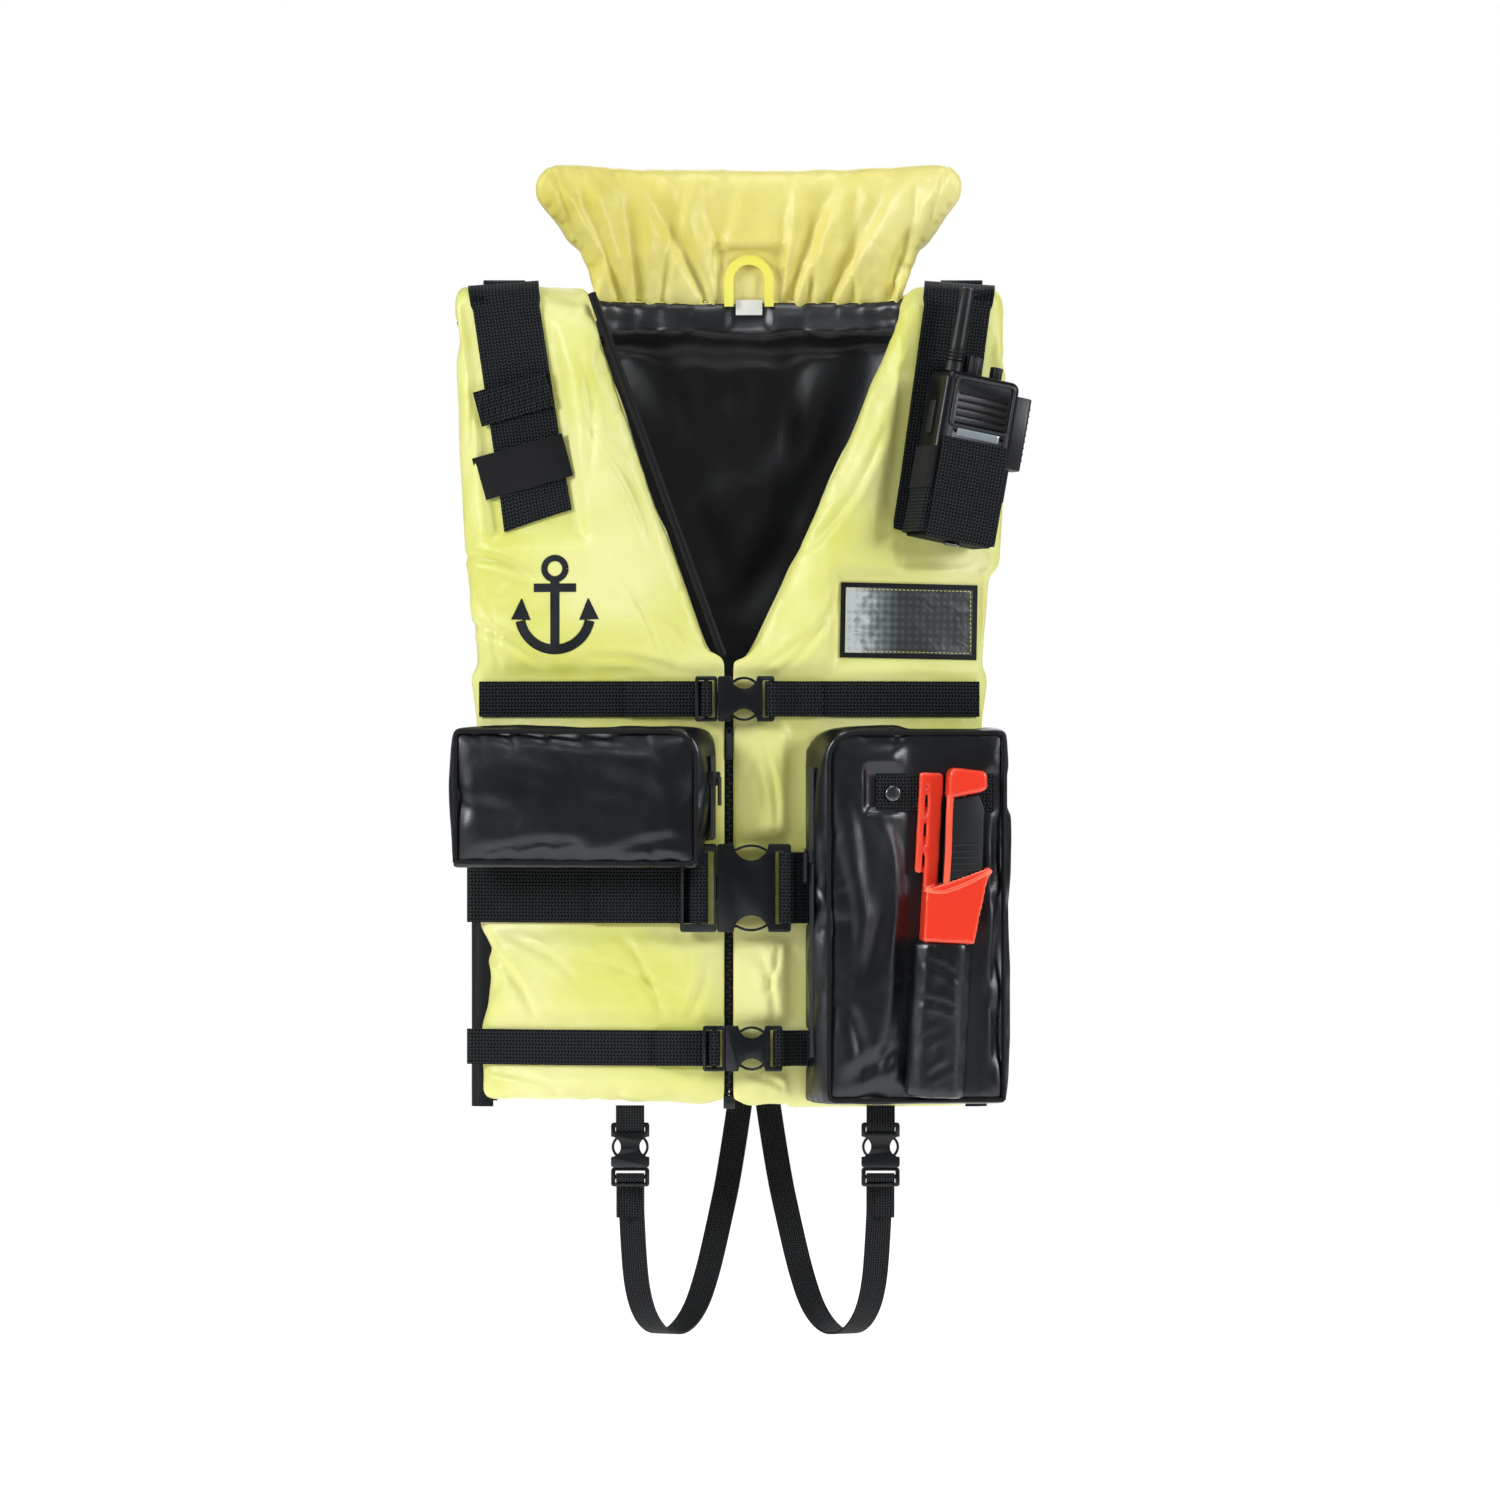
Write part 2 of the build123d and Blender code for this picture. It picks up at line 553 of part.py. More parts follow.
def pockets():
    """Two bellows pockets with their zips and sliders."""
    body = torso(FIT)
    waist = skin(0, 3) & block((-FAR, FAR), (-FAR, TORSO_Y), (WAIST_Z - 27, WAIST_Z + 27))
    hem = skin(0, 3) & block((-FAR, FAR), (-FAR, TORSO_Y), (HEM_BELT_Z - 14, HEM_BELT_Z + 14))
    girth = block((-FAR, TORSO_X - GIRTH_HALF + 14), (-106, 0), (WAIST_Z - 27, WAIST_Z + 27))

    right_x = (R_POCKET_X[2], R_POCKET_X[1], R_POCKET_X[0])
    low, high = R_POCKET_Z
    bag = Pos(0, 0, low) * extrude(pocket_planform(right_x, R_POCKET_Y), high - low)
    corner = make_face(Polyline((-400, low), (right_x[0], low), (right_x[0], high), (-400, high), close=True))
    corner = fillet([v for v in corner.vertices() if v.X > -20 and v.Y > low + 5], 20)
    bag = bag & front_view(corner)
    # the belt and the waist plug's travel pass behind the pocket's lower edge
    plug_room = skin(0, PLUG_ROOM)
    tunnel = plug_room & block((-FAR, FAR), (-FAR, TORSO_Y), (low - 5, WAIST_Z + WAIST_BUCKLE.half + 1.5))
    save("right_pocket_bag", bag - body - tunnel - girth)

    low, high = L_POCKET_Z
    bag = Pos(0, 0, low) * extrude(pocket_planform(L_POCKET_X, L_POCKET_Y), high - low)
    corner = make_face(Polyline((38, low), (400, low), (400, high), (38, high), close=True))
    corner = fillet([v for v in corner.vertices() if v.X < 60 and v.Y > low + 5], 22)
    wrap = block((TORSO_X + GIRTH_HALF - 14, FAR), (-106, 0), (-FAR, WAIST_Z + 27))
    save("left_pocket_bag", (bag & front_view(corner)) - body - waist - hem - wrap)

    zips = []
    sides = (("right", R_POCKET_X[2], R_POCKET_X[1], R_POCKET_Y, (-415, -357), -373.0),
             ("left", L_POCKET_X[0], L_POCKET_X[1], L_POCKET_Y, (-569, -365), -427.0))
    for name, base_x, front_x, front_y, (z_low, z_high), slider_z in sides:
        base, front = Vector(base_x, -120), Vector(front_x, front_y)
        along = (front - base).normalized()
        out = along.cross(Vector(0, 0, 1)) if name == "left" else Vector(0, 0, 1).cross(along)
        out = -out if out.X * (front_x - base_x) > 0 else out
        across = Vector(0, 0, 1).cross(out)
        middle = base + (front - base) * 0.62
        lift = 2.2
        plane = Plane(origin=(middle.X + out.X * lift, middle.Y + out.Y * lift, 0), x_dir=across, z_dir=out)
        height = z_high - z_low
        chain = Pos(0, (z_low + z_high) / 2) * (Box(7, height, 1) + Box(3.6, height, 2.2))
        zips += (plane * chain).solids()
        slider = Pos(0, slider_z, 0) * (zip_slider(9.0, 10.0) + Pos(0, -9, 5.2) * Box(4, 20, 1.4))
        room = Pos(0, (z_low + z_high) / 2, -2.4) * Box(12, height + 30, 3)
        save(f"{name}_pocket_slider", plane * (slider - room))
    save("pocket_zips", zips)


def knife():
    """Belt knife in its sheath, sleeve and strap on the left pocket."""
    y = L_POCKET_Y + (KNIFE_X - L_POCKET_X[1]) * tan(radians(POCKET_SLOPE))
    plane = leaning(KNIFE_X, y - FIT, KNIFE_Z, POCKET_SLOPE, KNIFE_LEAN)

    mouth = Polyline((-17, -43.7), (18.5, -43.7), (26, 3), (29, 8), (26, 10), (-17, -8), close=True)
    mouth = make_face(mouth)
    shell = extrude(mouth, 20)
    lower = Pos(0, -43.7 - 45, 2.5) * extrude(Rectangle(29, 90), 12)
    clip = Pos(-12.2, 30, 2.5) * extrude(Rectangle(9.6, 88), 5)
    hook = Pos(-19.6, 70, 2.5) * extrude(Rectangle(8, 8), 5)
    tail = Pos(-21.4, 37, 2.5) * extrude(Rectangle(4, 66), 5)
    blade_room = block((-9, 11), (-130, 40), (7.4, 11.4))
    handle_room = block((-6.2, 25), (-30, 40), (3.4, 18.6))
    sheath = (shell + lower + clip + hook + tail) - handle_room - blade_room
    save("sheath", plane * sheath)

    grip_outline = Polyline((-4.8, -28), (20, -28), (23, 8), (22, 52), (17, 62), (-4.8, 56), close=True)
    grip_outline = make_face(grip_outline)
    grip = extrude(offset(grip_outline, -0.6, kind=Kind.INTERSECTION), 14)
    cap_outline = Polyline((-5, 57), (19, 63), (22.5, 66), (21, 77), (-3, 78.5), (-5, 75), close=True)
    cap_outline = make_face(cap_outline)
    cap = Pos(0, 0, 3.6) * extrude(cap_outline, 17)
    tang = block((1, 9), (-36, 64), (7.9, 10.9))
    blade = block((-8, 10), (-118, -34), (7.9, 10.9)) + tang
    save("knife_blade", plane * blade)
    save("knife_grip", plane * (Pos(0, 0, 4) * grip - tang))
    save("knife_pommel", plane * (cap - tang))

    sleeve = Pos(-1, -44 - 54) * Rectangle(40, 108)
    fabric = extrude(sleeve, 17)
    fabric = chamfer(fabric.edges().filter_by(Axis.Y).group_by(Axis.Z)[-1], 8)
    hollow = block((-16, 16), (-140, -40), (2.2, 14.8))
    save("knife_sleeve", plane * (fabric - hollow - Pos(-2, 0) * block((-40, 60), (-43.7, 20), (-5, 40))))

    strap_plane = leaning(KNIFE_X, y - FIT, KNIFE_Z, POCKET_SLOPE, 0)
    strap = Pos(-8, 60.5) * extrude(Rectangle(84, 26), 1.8)
    save("sheath_strap", strap_plane * strap)
    return strap_plane * (Pos(-38.5, 60.5, 1.9) * extrude(Circle(5.5), 2.4))


def window():
    """Stitched window patch on the left chest."""
    patch = Pos(113, -262) * Rot(0, 0, -1) * Rectangle(97, 53)
    save("chest_window", skin(FIT, 1.5) & front_view(patch, -FAR, TORSO_Y))


def main():
    """Writes every node."""
    os.makedirs("parts", exist_ok=True)
    vest_body()
    collar()
    neck_details()
    belts()
    crotch_straps()
    front_zip()
    shoulders()
    pockets()
    window()
    save("snap_studs", [radio(), knife()])


main()
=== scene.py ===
"""Foam work vest on a pale studio floor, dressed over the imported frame. Metres, +Z up, front to -Y."""

from __future__ import annotations

import json
import logging
import math
from collections.abc import Callable, Sequence
from dataclasses import dataclass, field
from enum import Enum

import bpy
import numpy as np
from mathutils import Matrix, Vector, noise

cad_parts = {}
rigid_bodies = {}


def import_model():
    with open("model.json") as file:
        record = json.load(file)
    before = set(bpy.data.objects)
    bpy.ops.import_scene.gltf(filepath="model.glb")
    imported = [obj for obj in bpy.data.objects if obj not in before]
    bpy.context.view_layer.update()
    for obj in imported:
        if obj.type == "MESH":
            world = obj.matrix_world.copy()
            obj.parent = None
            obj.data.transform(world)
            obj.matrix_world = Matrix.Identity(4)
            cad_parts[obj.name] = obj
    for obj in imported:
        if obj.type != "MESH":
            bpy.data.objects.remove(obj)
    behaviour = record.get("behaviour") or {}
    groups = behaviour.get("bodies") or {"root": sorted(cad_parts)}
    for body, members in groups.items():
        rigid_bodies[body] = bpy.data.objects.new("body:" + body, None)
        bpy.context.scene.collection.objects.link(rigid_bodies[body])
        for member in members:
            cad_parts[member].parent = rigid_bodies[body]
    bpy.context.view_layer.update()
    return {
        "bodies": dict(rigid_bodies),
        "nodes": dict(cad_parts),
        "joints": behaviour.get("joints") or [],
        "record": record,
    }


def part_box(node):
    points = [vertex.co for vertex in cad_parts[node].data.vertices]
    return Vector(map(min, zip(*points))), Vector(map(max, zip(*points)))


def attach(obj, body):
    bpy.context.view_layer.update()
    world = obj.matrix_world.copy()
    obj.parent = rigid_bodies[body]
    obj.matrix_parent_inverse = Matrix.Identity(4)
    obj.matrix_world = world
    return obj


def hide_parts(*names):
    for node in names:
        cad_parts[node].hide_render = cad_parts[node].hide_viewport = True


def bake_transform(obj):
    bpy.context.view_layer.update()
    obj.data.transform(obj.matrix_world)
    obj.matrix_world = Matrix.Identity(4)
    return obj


MM = 0.001
LOG = logging.getLogger("vest")

Object = bpy.types.Object
Material = bpy.types.Material


# --- materials -----------------------------------------------------------------------------


def linear(code: str, alpha: float = 1.0) -> tuple[float, float, float, float]:
    """Turns an sRGB hex colour to linear.

    Args:
        code: Six hex digits after a hash.
        alpha: The alpha to return with it.

    Returns:
        Linear red, green, blue and alpha.
    """
    parts = [int(code[i : i + 2], 16) / 255 for i in (1, 3, 5)]
    tuned = [c / 12.92 if c <= 0.04045 else ((c + 0.055) / 1.055) ** 2.4 for c in parts]
    return (*tuned, alpha)


def add_node(
    tree: bpy.types.NodeTree, kind: str, inputs: dict | None = None,
    stops: Sequence[tuple[float, str]] = (), **settings: object,
) -> bpy.types.Node:
    """Adds one node.

    Args:
        tree: The node tree it goes in.
        kind: The node's type, without its ShaderNode prefix.
        inputs: Input name or number to a value, or to the socket that feeds it.
        stops: A colour ramp's places and hex colours.
        settings: Properties of the node itself.

    Returns:
        The new node.
    """
    made = tree.nodes.new("ShaderNode" + kind)
    for key, value in settings.items():
        setattr(made, key, value)
    for key, value in (inputs or {}).items():
        if isinstance(value, bpy.types.NodeSocket):
            tree.links.new(value, made.inputs[key])
        else:
            made.inputs[key].default_value = value
    for n, (place, code) in enumerate(stops):
        elements = made.color_ramp.elements
        element = elements[n] if n < len(elements) else elements.new(place)
        element.position = place
        element.color = linear(code)
    return made


def blank(name: str, **sockets: object) -> tuple[Material, bpy.types.NodeTree, bpy.types.Node]:
    """Starts a material.

    Args:
        name: The material's name.
        sockets: Principled inputs, with _ for a space.

    Returns:
        The material, its tree and its shader.
    """
    material = bpy.data.materials.new(name)
    material.use_nodes = True
    shader = material.node_tree.nodes["Principled BSDF"]
    for key, value in sockets.items():
        shader.inputs[key.replace("_", " ")].default_value = value
    return material, material.node_tree, shader


@dataclass(frozen=True)
class ShellCloth:
    """Polyester shell, woven and coated, dyed a fluorescent yellow.

    The dye turns blue light to yellow; a little emission stands in for that, a painted glow that lights the cloth the
    same under any lamp.
    The coating gives a soft broad gloss over a fine plain weave.
    """

    name: str = "fluorescent_polyester"
    light: str = "#E8E59A"
    deep: str = "#D4D55E"
    painted_glow: float = 0.05
    thread_mm: float = 1.1  # drawn about twice as coarse as the real yarn, so that it shows

    def build(self) -> Material:
        """Builds the material."""
        made, tree, shader = blank(self.name, Roughness=0.42, Specular_IOR_Level=0.5, Sheen_Weight=0.08)
        shader.inputs["Sheen Roughness"].default_value = 0.5
        # painted glow: emission in the deeper yellow, given off whatever light falls on the cloth
        shader.inputs["Emission Color"].default_value = linear(self.deep)
        shader.inputs["Emission Strength"].default_value = self.painted_glow
        place = add_node(tree, "TexCoord").outputs["Object"]
        drift = add_node(tree, "TexNoise", {"Vector": place, "Scale": 9.0, "Detail": 3.0})
        stops = ((0.32, self.deep), (0.62, self.light))
        dye = add_node(tree, "ValToRGB", {"Fac": drift.outputs["Fac"]}, stops)
        tree.links.new(dye.outputs["Color"], shader.inputs["Base Color"])
        pitch = math.tau / 2 / (self.thread_mm * MM) / 10
        warp = add_node(tree, "TexWave", {"Vector": place, "Scale": pitch, "Distortion": 0.6}, bands_direction="X")
        weft = add_node(tree, "TexWave", {"Vector": place, "Scale": pitch, "Distortion": 0.6}, bands_direction="Z")
        weave = add_node(tree, "Math", {0: warp.outputs["Fac"], 1: weft.outputs["Fac"]}, operation="MULTIPLY")
        rumple = add_node(tree, "TexNoise", {"Vector": place, "Scale": 60.0, "Detail": 4.0, "Distortion": 0.6})
        fine = add_node(tree, "Bump", {"Height": weave.outputs[0], "Strength": 0.10, "Distance": 0.0004})
        broad = add_node(
            tree, "Bump",
            {"Height": rumple.outputs["Fac"], "Strength": 0.22, "Distance": 0.004, "Normal": fine.outputs[0]},
        )
        tree.links.new(broad.outputs[0], shader.inputs["Normal"])
        return made


@dataclass(frozen=True)
class SoftCloth:
    """Plain dark cloth: satin lining, coated pack cloth or elastic, by its gloss and its creases."""

    name: str
    light: str
    deep: str
    roughness: float
    sheen: float
    crease_mm: float = 1.5
    crease_scale: float = 28.0
    thread_mm: float = 1.0
    coat: float = 0.0
    shine: float = 0.22

    def build(self) -> Material:
        """Builds the material."""
        made, tree, shader = blank(
            self.name, Roughness=self.roughness, Sheen_Weight=self.sheen, Coat_Weight=self.coat,
            Coat_Roughness=0.35, Specular_IOR_Level=self.shine,
        )
        place = add_node(tree, "TexCoord").outputs["Object"]
        drift = add_node(tree, "TexNoise", {"Vector": place, "Scale": 14.0, "Detail": 5.0, "Distortion": 0.4})
        stops = ((0.3, self.deep), (0.7, self.light))
        dye = add_node(tree, "ValToRGB", {"Fac": drift.outputs["Fac"]}, stops)
        tree.links.new(dye.outputs["Color"], shader.inputs["Base Color"])
        gloss = add_node(
            tree, "MapRange",
            {"Value": drift.outputs["Fac"], "To Min": self.roughness - 0.07, "To Max": self.roughness + 0.10},
        )
        tree.links.new(gloss.outputs["Result"], shader.inputs["Roughness"])
        pitch = math.tau / 2 / (self.thread_mm * MM) / 10
        warp = add_node(tree, "TexWave", {"Vector": place, "Scale": pitch}, bands_direction="X")
        weft = add_node(tree, "TexWave", {"Vector": place, "Scale": pitch}, bands_direction="Z")
        weave = add_node(tree, "Math", {0: warp.outputs["Fac"], 1: weft.outputs["Fac"]}, operation="MULTIPLY")
        fine = add_node(tree, "Bump", {"Height": weave.outputs[0], "Strength": 0.12, "Distance": 0.0003})
        rumple = add_node(
            tree, "TexNoise", {"Vector": place, "Scale": self.crease_scale, "Detail": 5.0, "Distortion": 1.4}
        )
        broad = add_node(
            tree, "Bump",
            {
                "Height": rumple.outputs["Fac"], "Strength": 0.4, "Distance": self.crease_mm * MM,
                "Normal": fine.outputs[0],
            },
        )
        tree.links.new(broad.outputs[0], shader.inputs["Normal"])
        return made


@dataclass(frozen=True)
class Webbing:
    """Woven polyester or nylon webbing: ribs across the run and fine slanted threads along it, with painted highlights
    on the rib crests and painted shade in the grooves between lanes.

    Its own UV map holds metres along and across the strip.
    """

    name: str
    # light is the colour that the rib crests are lightened to, a painted highlight
    light: str
    deep: str
    rib_mm: float = 2.1  # drawn coarser than the real weave, so that it shows
    slant: float = 0.55
    roughness: float = 0.62

    def build(self) -> Material:
        """Builds the material."""
        made, tree, shader = blank(self.name, Roughness=self.roughness, Sheen_Weight=0.01, Specular_IOR_Level=0.12)
        place = add_node(tree, "TexCoord").outputs["UV"]
        split = add_node(tree, "SeparateXYZ", {"Vector": place})
        along, across = split.outputs["X"], split.outputs["Y"]
        half = self.rib_mm * MM
        rise = add_node(tree, "Math", {0: across, 1: 1 / half}, operation="MULTIPLY")
        zigzag = add_node(tree, "Math", {0: rise.outputs[0], 1: 1.0}, operation="PINGPONG")
        shift = add_node(tree, "Math", {0: zigzag.outputs[0], 1: self.slant * half, 2: along}, operation="MULTIPLY_ADD")
        turns = add_node(tree, "Math", {0: shift.outputs[0], 1: math.tau / half}, operation="MULTIPLY")
        rib = add_node(tree, "Math", {0: turns.outputs[0]}, operation="SINE")
        groove = add_node(tree, "Math", {0: rise.outputs[0], 1: math.tau / 2}, operation="MULTIPLY")
        lane = add_node(tree, "Math", {0: groove.outputs[0]}, operation="SINE")
        lane_height = add_node(tree, "Math", {0: lane.outputs[0]}, operation="ABSOLUTE")
        height = add_node(
            tree, "Math", {0: rib.outputs[0], 1: 0.5, 2: lane_height.outputs[0]}, operation="MULTIPLY_ADD"
        )
        speck = add_node(tree, "TexNoise", {"Vector": place, "Scale": 1500.0, "Detail": 2.0})
        # painted highlight and shade: the base colour is lighter on the rib crests and darker in the grooves; the
        # specks are the threads' own mottle
        tone = add_node(tree, "Math", {0: height.outputs[0], 1: 0.42, 2: 0.12}, operation="MULTIPLY_ADD")
        speck_and_crest_highlight = add_node(
            tree, "Math", {0: speck.outputs["Fac"], 1: 0.5, 2: tone.outputs[0]}, operation="MULTIPLY_ADD"
        )
        dye = add_node(tree, "ValToRGB", {"Fac": speck_and_crest_highlight.outputs[0]}, ((0.52, self.deep), (1.0, self.light)))
        tree.links.new(dye.outputs["Color"], shader.inputs["Base Color"])
        bump = add_node(tree, "Bump", {"Height": height.outputs[0], "Strength": 0.8, "Distance": 0.0007})
        tree.links.new(bump.outputs[0], shader.inputs["Normal"])
        return made


@dataclass(frozen=True)
class Moulding:
    """Injection-moulded plastic or rubber, with a spark-eroded grain and a lighter colour on its sharp outer edges."""

    name: str
    colour: str
    edge_colour: str
    roughness: float
    grain_mm: float = 0.8
    grain: float = 0.15
    coat: float = 0.0
    subsurface: float = 0.0

    def build(self) -> Material:
        """Builds the material."""
        made, tree, shader = blank(
            self.name, Roughness=self.roughness, Coat_Weight=self.coat, Coat_Roughness=0.15, IOR=1.49,
            Specular_IOR_Level=0.38,
            Subsurface_Weight=self.subsurface, Subsurface_Scale=0.004,
        )
        place = add_node(tree, "TexCoord").outputs["Object"]
        drift = add_node(tree, "TexNoise", {"Vector": place, "Scale": 45.0, "Detail": 4.0})
        edge = add_node(tree, "NewGeometry").outputs["Pointiness"]
        # the colour turns lighter on sharp outer edges
        rub = add_node(tree, "MapRange", {"Value": edge, "From Min": 0.51, "From Max": 0.60})
        blend = add_node(
            tree, "Mix", {"Factor": rub.outputs["Result"], 6: linear(self.colour), 7: linear(self.edge_colour)},
            data_type="RGBA",
        )
        tree.links.new(blend.outputs[2], shader.inputs["Base Color"])
        gloss = add_node(
            tree, "MapRange",
            {"Value": drift.outputs["Fac"], "To Min": self.roughness - 0.08, "To Max": self.roughness + 0.08},
        )
        tree.links.new(gloss.outputs["Result"], shader.inputs["Roughness"])
        grain = add_node(tree, "TexVoronoi", {"Vector": place, "Scale": 1 / (self.grain_mm * MM)})
        bump = add_node(tree, "Bump", {"Height": grain.outputs["Distance"], "Strength": self.grain, "Distance": 0.0002})
        tree.links.new(bump.outputs[0], shader.inputs["Normal"])
        return made


@dataclass(frozen=True)
class Metal:
    """Ground, blackened or enamelled metal, with fine lines along Z."""

    name: str
    colour: str
    deep: str
    roughness: float
    metallic: float = 1.0

    def build(self) -> Material:
        """Builds the material."""
        made, tree, shader = blank(self.name, Metallic=self.metallic, Roughness=self.roughness)
        place = add_node(tree, "TexCoord").outputs["Object"]
        drawn = add_node(tree, "Mapping", {"Vector": place, "Scale": (1.0, 1.0, 0.05)})
        lines = add_node(tree, "TexNoise", {"Vector": drawn.outputs[0], "Scale": 900.0, "Detail": 3.0})
        tone = add_node(tree, "ValToRGB", {"Fac": lines.outputs["Fac"]}, ((0.2, self.deep), (0.75, self.colour)))
        tree.links.new(tone.outputs["Color"], shader.inputs["Base Color"])
        bump = add_node(tree, "Bump", {"Height": lines.outputs["Fac"], "Strength": 0.15, "Distance": 0.0002})
        tree.links.new(bump.outputs[0], shader.inputs["Normal"])
        return made


@dataclass(frozen=True)
class ReflectiveFilm:
    """Prismatic film under clear vinyl: sealed cells in rows, dark until light strikes them, with a painted highlight
    of crinkled silver at one end.
    """

    name: str = "prismatic_film"
    cell_mm: float = 5.2
    highlight_reach: float = 0.040  # how far from the start of its UV map the painted highlight of crinkled silver reaches; past it the film is dull

    def build(self) -> Material:
        """Builds the material."""
        made, tree, shader = blank(
            self.name, Roughness=0.32, Metallic=0.15, Coat_Weight=0.8, Coat_Roughness=0.12, Specular_IOR_Level=0.6
        )
        place = add_node(tree, "TexCoord").outputs["UV"]
        split = add_node(tree, "SeparateXYZ", {"Vector": place})
        waves = []
        turns_per_metre = math.tau / (self.cell_mm * MM)
        for axis in ("X", "Y"):
            turn = add_node(tree, "Math", {0: split.outputs[axis], 1: turns_per_metre}, operation="MULTIPLY")
            waves.append(add_node(tree, "Math", {0: turn.outputs[0]}, operation="COSINE").outputs[0])
        cells = add_node(tree, "Math", {0: waves[0], 1: waves[1]}, operation="ADD")
        haze = add_node(tree, "TexNoise", {"Vector": place, "Scale": 55.0, "Detail": 6.0, "Distortion": 2.2})
        # painted highlight: crinkled silver lightens the base colour from the start of the UV map and fades to nothing
        # a short way in
        highlight_fade = add_node(
            tree, "MapRange",
            {"Value": split.outputs["X"], "From Min": 0.0, "From Max": self.highlight_reach, "To Min": 1.5, "To Max": 0.0},
        )
        painted_highlight = add_node(tree, "Math", {0: haze.outputs["Fac"], 1: highlight_fade.outputs["Result"]}, operation="MULTIPLY")
        tone = add_node(tree, "Math", {0: cells.outputs[0], 1: 0.045, 2: painted_highlight.outputs[0]}, operation="MULTIPLY_ADD")
        stops = ((0.0, "#2E3332"), (0.12, "#4A514F"), (0.30, "#6F7776"), (0.6, "#C9CDCC"))
        film = add_node(tree, "ValToRGB", {"Fac": tone.outputs[0]}, stops)
        tree.links.new(film.outputs["Color"], shader.inputs["Base Color"])
        bump = add_node(tree, "Bump", {"Height": haze.outputs["Fac"], "Strength": 0.35, "Distance": 0.0015})
        tree.links.new(bump.outputs[0], shader.inputs["Normal"])
        return made


class Finish(Enum):
    """Every finish on the vest."""

    SHELL = ShellCloth()
    # painted shade: the collar's copy of the shell cloth is tinted more golden all over, for the warm shade in its
    # folds
    COLLAR = ShellCloth("collar_polyester", "#ECE290", "#DCCD58", 0.05)
    TAPE_YELLOW = ShellCloth("yellow_tape", "#F3EC6A", "#E2D640", 0.06, 0.9)
    LINING = SoftCloth("satin_lining", "#080B10", "#030507", 0.34, 0.02, 0.6, 11.0, 1.0, 0.0, 0.7)
    PACK = SoftCloth("coated_pack_cloth", "#0B1117", "#05080B", 0.29, 0.0, 0.5, 16.0, 1.0, 0.0, 0.66)
    SIDE = SoftCloth("side_pack_cloth", "#121417", "#08090A", 0.5, 0.05, 1.4, 22.0)
    ELASTIC = SoftCloth("plush_elastic", "#0A0B0C", "#050506", 0.66, 0.05, 0.4, 60.0)
    BELT = Webbing("polyester_webbing", "#34393B", "#010202", 2.4)
    STRAP = Webbing("nylon_webbing", "#3A3D40", "#020303", 1.9, 0.8)
    BINDING = SoftCloth("binding_tape", "#0C0E12", "#050607", 0.55, 0.03, 0.2, 90.0)
    FOAM = SoftCloth("closed_cell_foam", "#E6E7E3", "#D4D6D2", 0.85, 0.0, 0.6, 90.0)
    LABEL = SoftCloth("woven_label", "#F2F1EA", "#D8D6CC", 0.7, 0.2, 0.2, 60.0)
    THREAD = SoftCloth("black_thread", "#26282C", "#101114", 0.6, 0.3, 0.1, 90.0)
    THREAD_YELLOW = SoftCloth("yellow_thread", "#EDE78C", "#C9C25A", 0.6, 0.3, 0.1, 90.0)
    PRINT = SoftCloth("screen_print_ink", "#26292B", "#17191B", 0.42, 0.0, 0.2, 40.0)
    ACETAL = Moulding("black_acetal", "#060707", "#2A2D30", 0.27)
    RADIO = Moulding("radio_polycarbonate", "#050607", "#34373A", 0.34, 0.9, 0.25)
    RUBBER = Moulding("moulded_rubber", "#060707", "#202224", 0.44, 1.2, 0.3)
    LENS = Moulding("tinted_window", "#8A9494", "#A8B0B0", 0.18, 2.0, 0.02, 0.6)
    SHEATH = Moulding("orange_polypropylene", "#EE3A20", "#FF7A58", 0.30, 0.9, 0.10, 0.4, 0.1)
    STEEL = Metal("ground_steel", "#C4C8CC", "#6A6E72", 0.28)
    SNAP = Metal("blackened_snap", "#8E9196", "#3A3C40", 0.26)
    ZIP = Moulding("moulded_zip", "#16171A", "#303236", 0.38)
    FILM = ReflectiveFilm()

    def get(self) -> Material:
        """Returns this finish's material, built the first time that it is asked for."""
        found = bpy.data.materials.get(self.value.name)
        return found or self.value.build()


# --- modelling -----------------------------------------------------------------------------


def only(piece: Object) -> Object:
    """Selects one object alone and makes it active."""
    bpy.ops.object.select_all(action="DESELECT")
    piece.select_set(True)
    bpy.context.view_layer.objects.active = piece
    return piece


def apply_modifier(piece: Object, kind: str, **settings: object) -> None:
    """Adds a modifier with its settings and applies it."""
    only(piece)
    made = piece.modifiers.new(kind.title(), kind)
    for key, value in settings.items():
        setattr(made, key, value)
    bpy.ops.object.modifier_apply(modifier=made.name)


def edit(piece: Object, *steps: Callable[[], object]) -> Object:
    """Runs operators in edit mode on the whole mesh."""
    only(piece)
    bpy.ops.object.mode_set(mode="EDIT")
    bpy.ops.mesh.select_all(action="SELECT")
    for step in steps:
        step()
    bpy.ops.object.mode_set(mode="OBJECT")
    return piece


def points_of(piece: Object) -> np.ndarray:
    """Returns a mesh's vertices as an array of rows."""
    flat = np.empty(len(piece.data.vertices) * 3)
    piece.data.vertices.foreach_get("co", flat)
    return flat.reshape(-1, 3)


def normals_of(piece: Object) -> np.ndarray:
    """Returns a mesh's vertex normals as an array of rows."""
    flat = np.empty(len(piece.data.vertices) * 3)
    piece.data.vertices.foreach_get("normal", flat)
    return flat.reshape(-1, 3)


def move_points(piece: Object, points: np.ndarray) -> None:
    """Puts a mesh's vertices at new places."""
    piece.data.vertices.foreach_set("co", points.astype(np.float32).ravel())
    piece.data.update()


def linked(name: str, data: bpy.types.ID) -> Object:
    """Puts a new object that holds this data in the scene."""
    made = bpy.data.objects.new(name, data)
    bpy.context.scene.collection.objects.link(made)
    return made


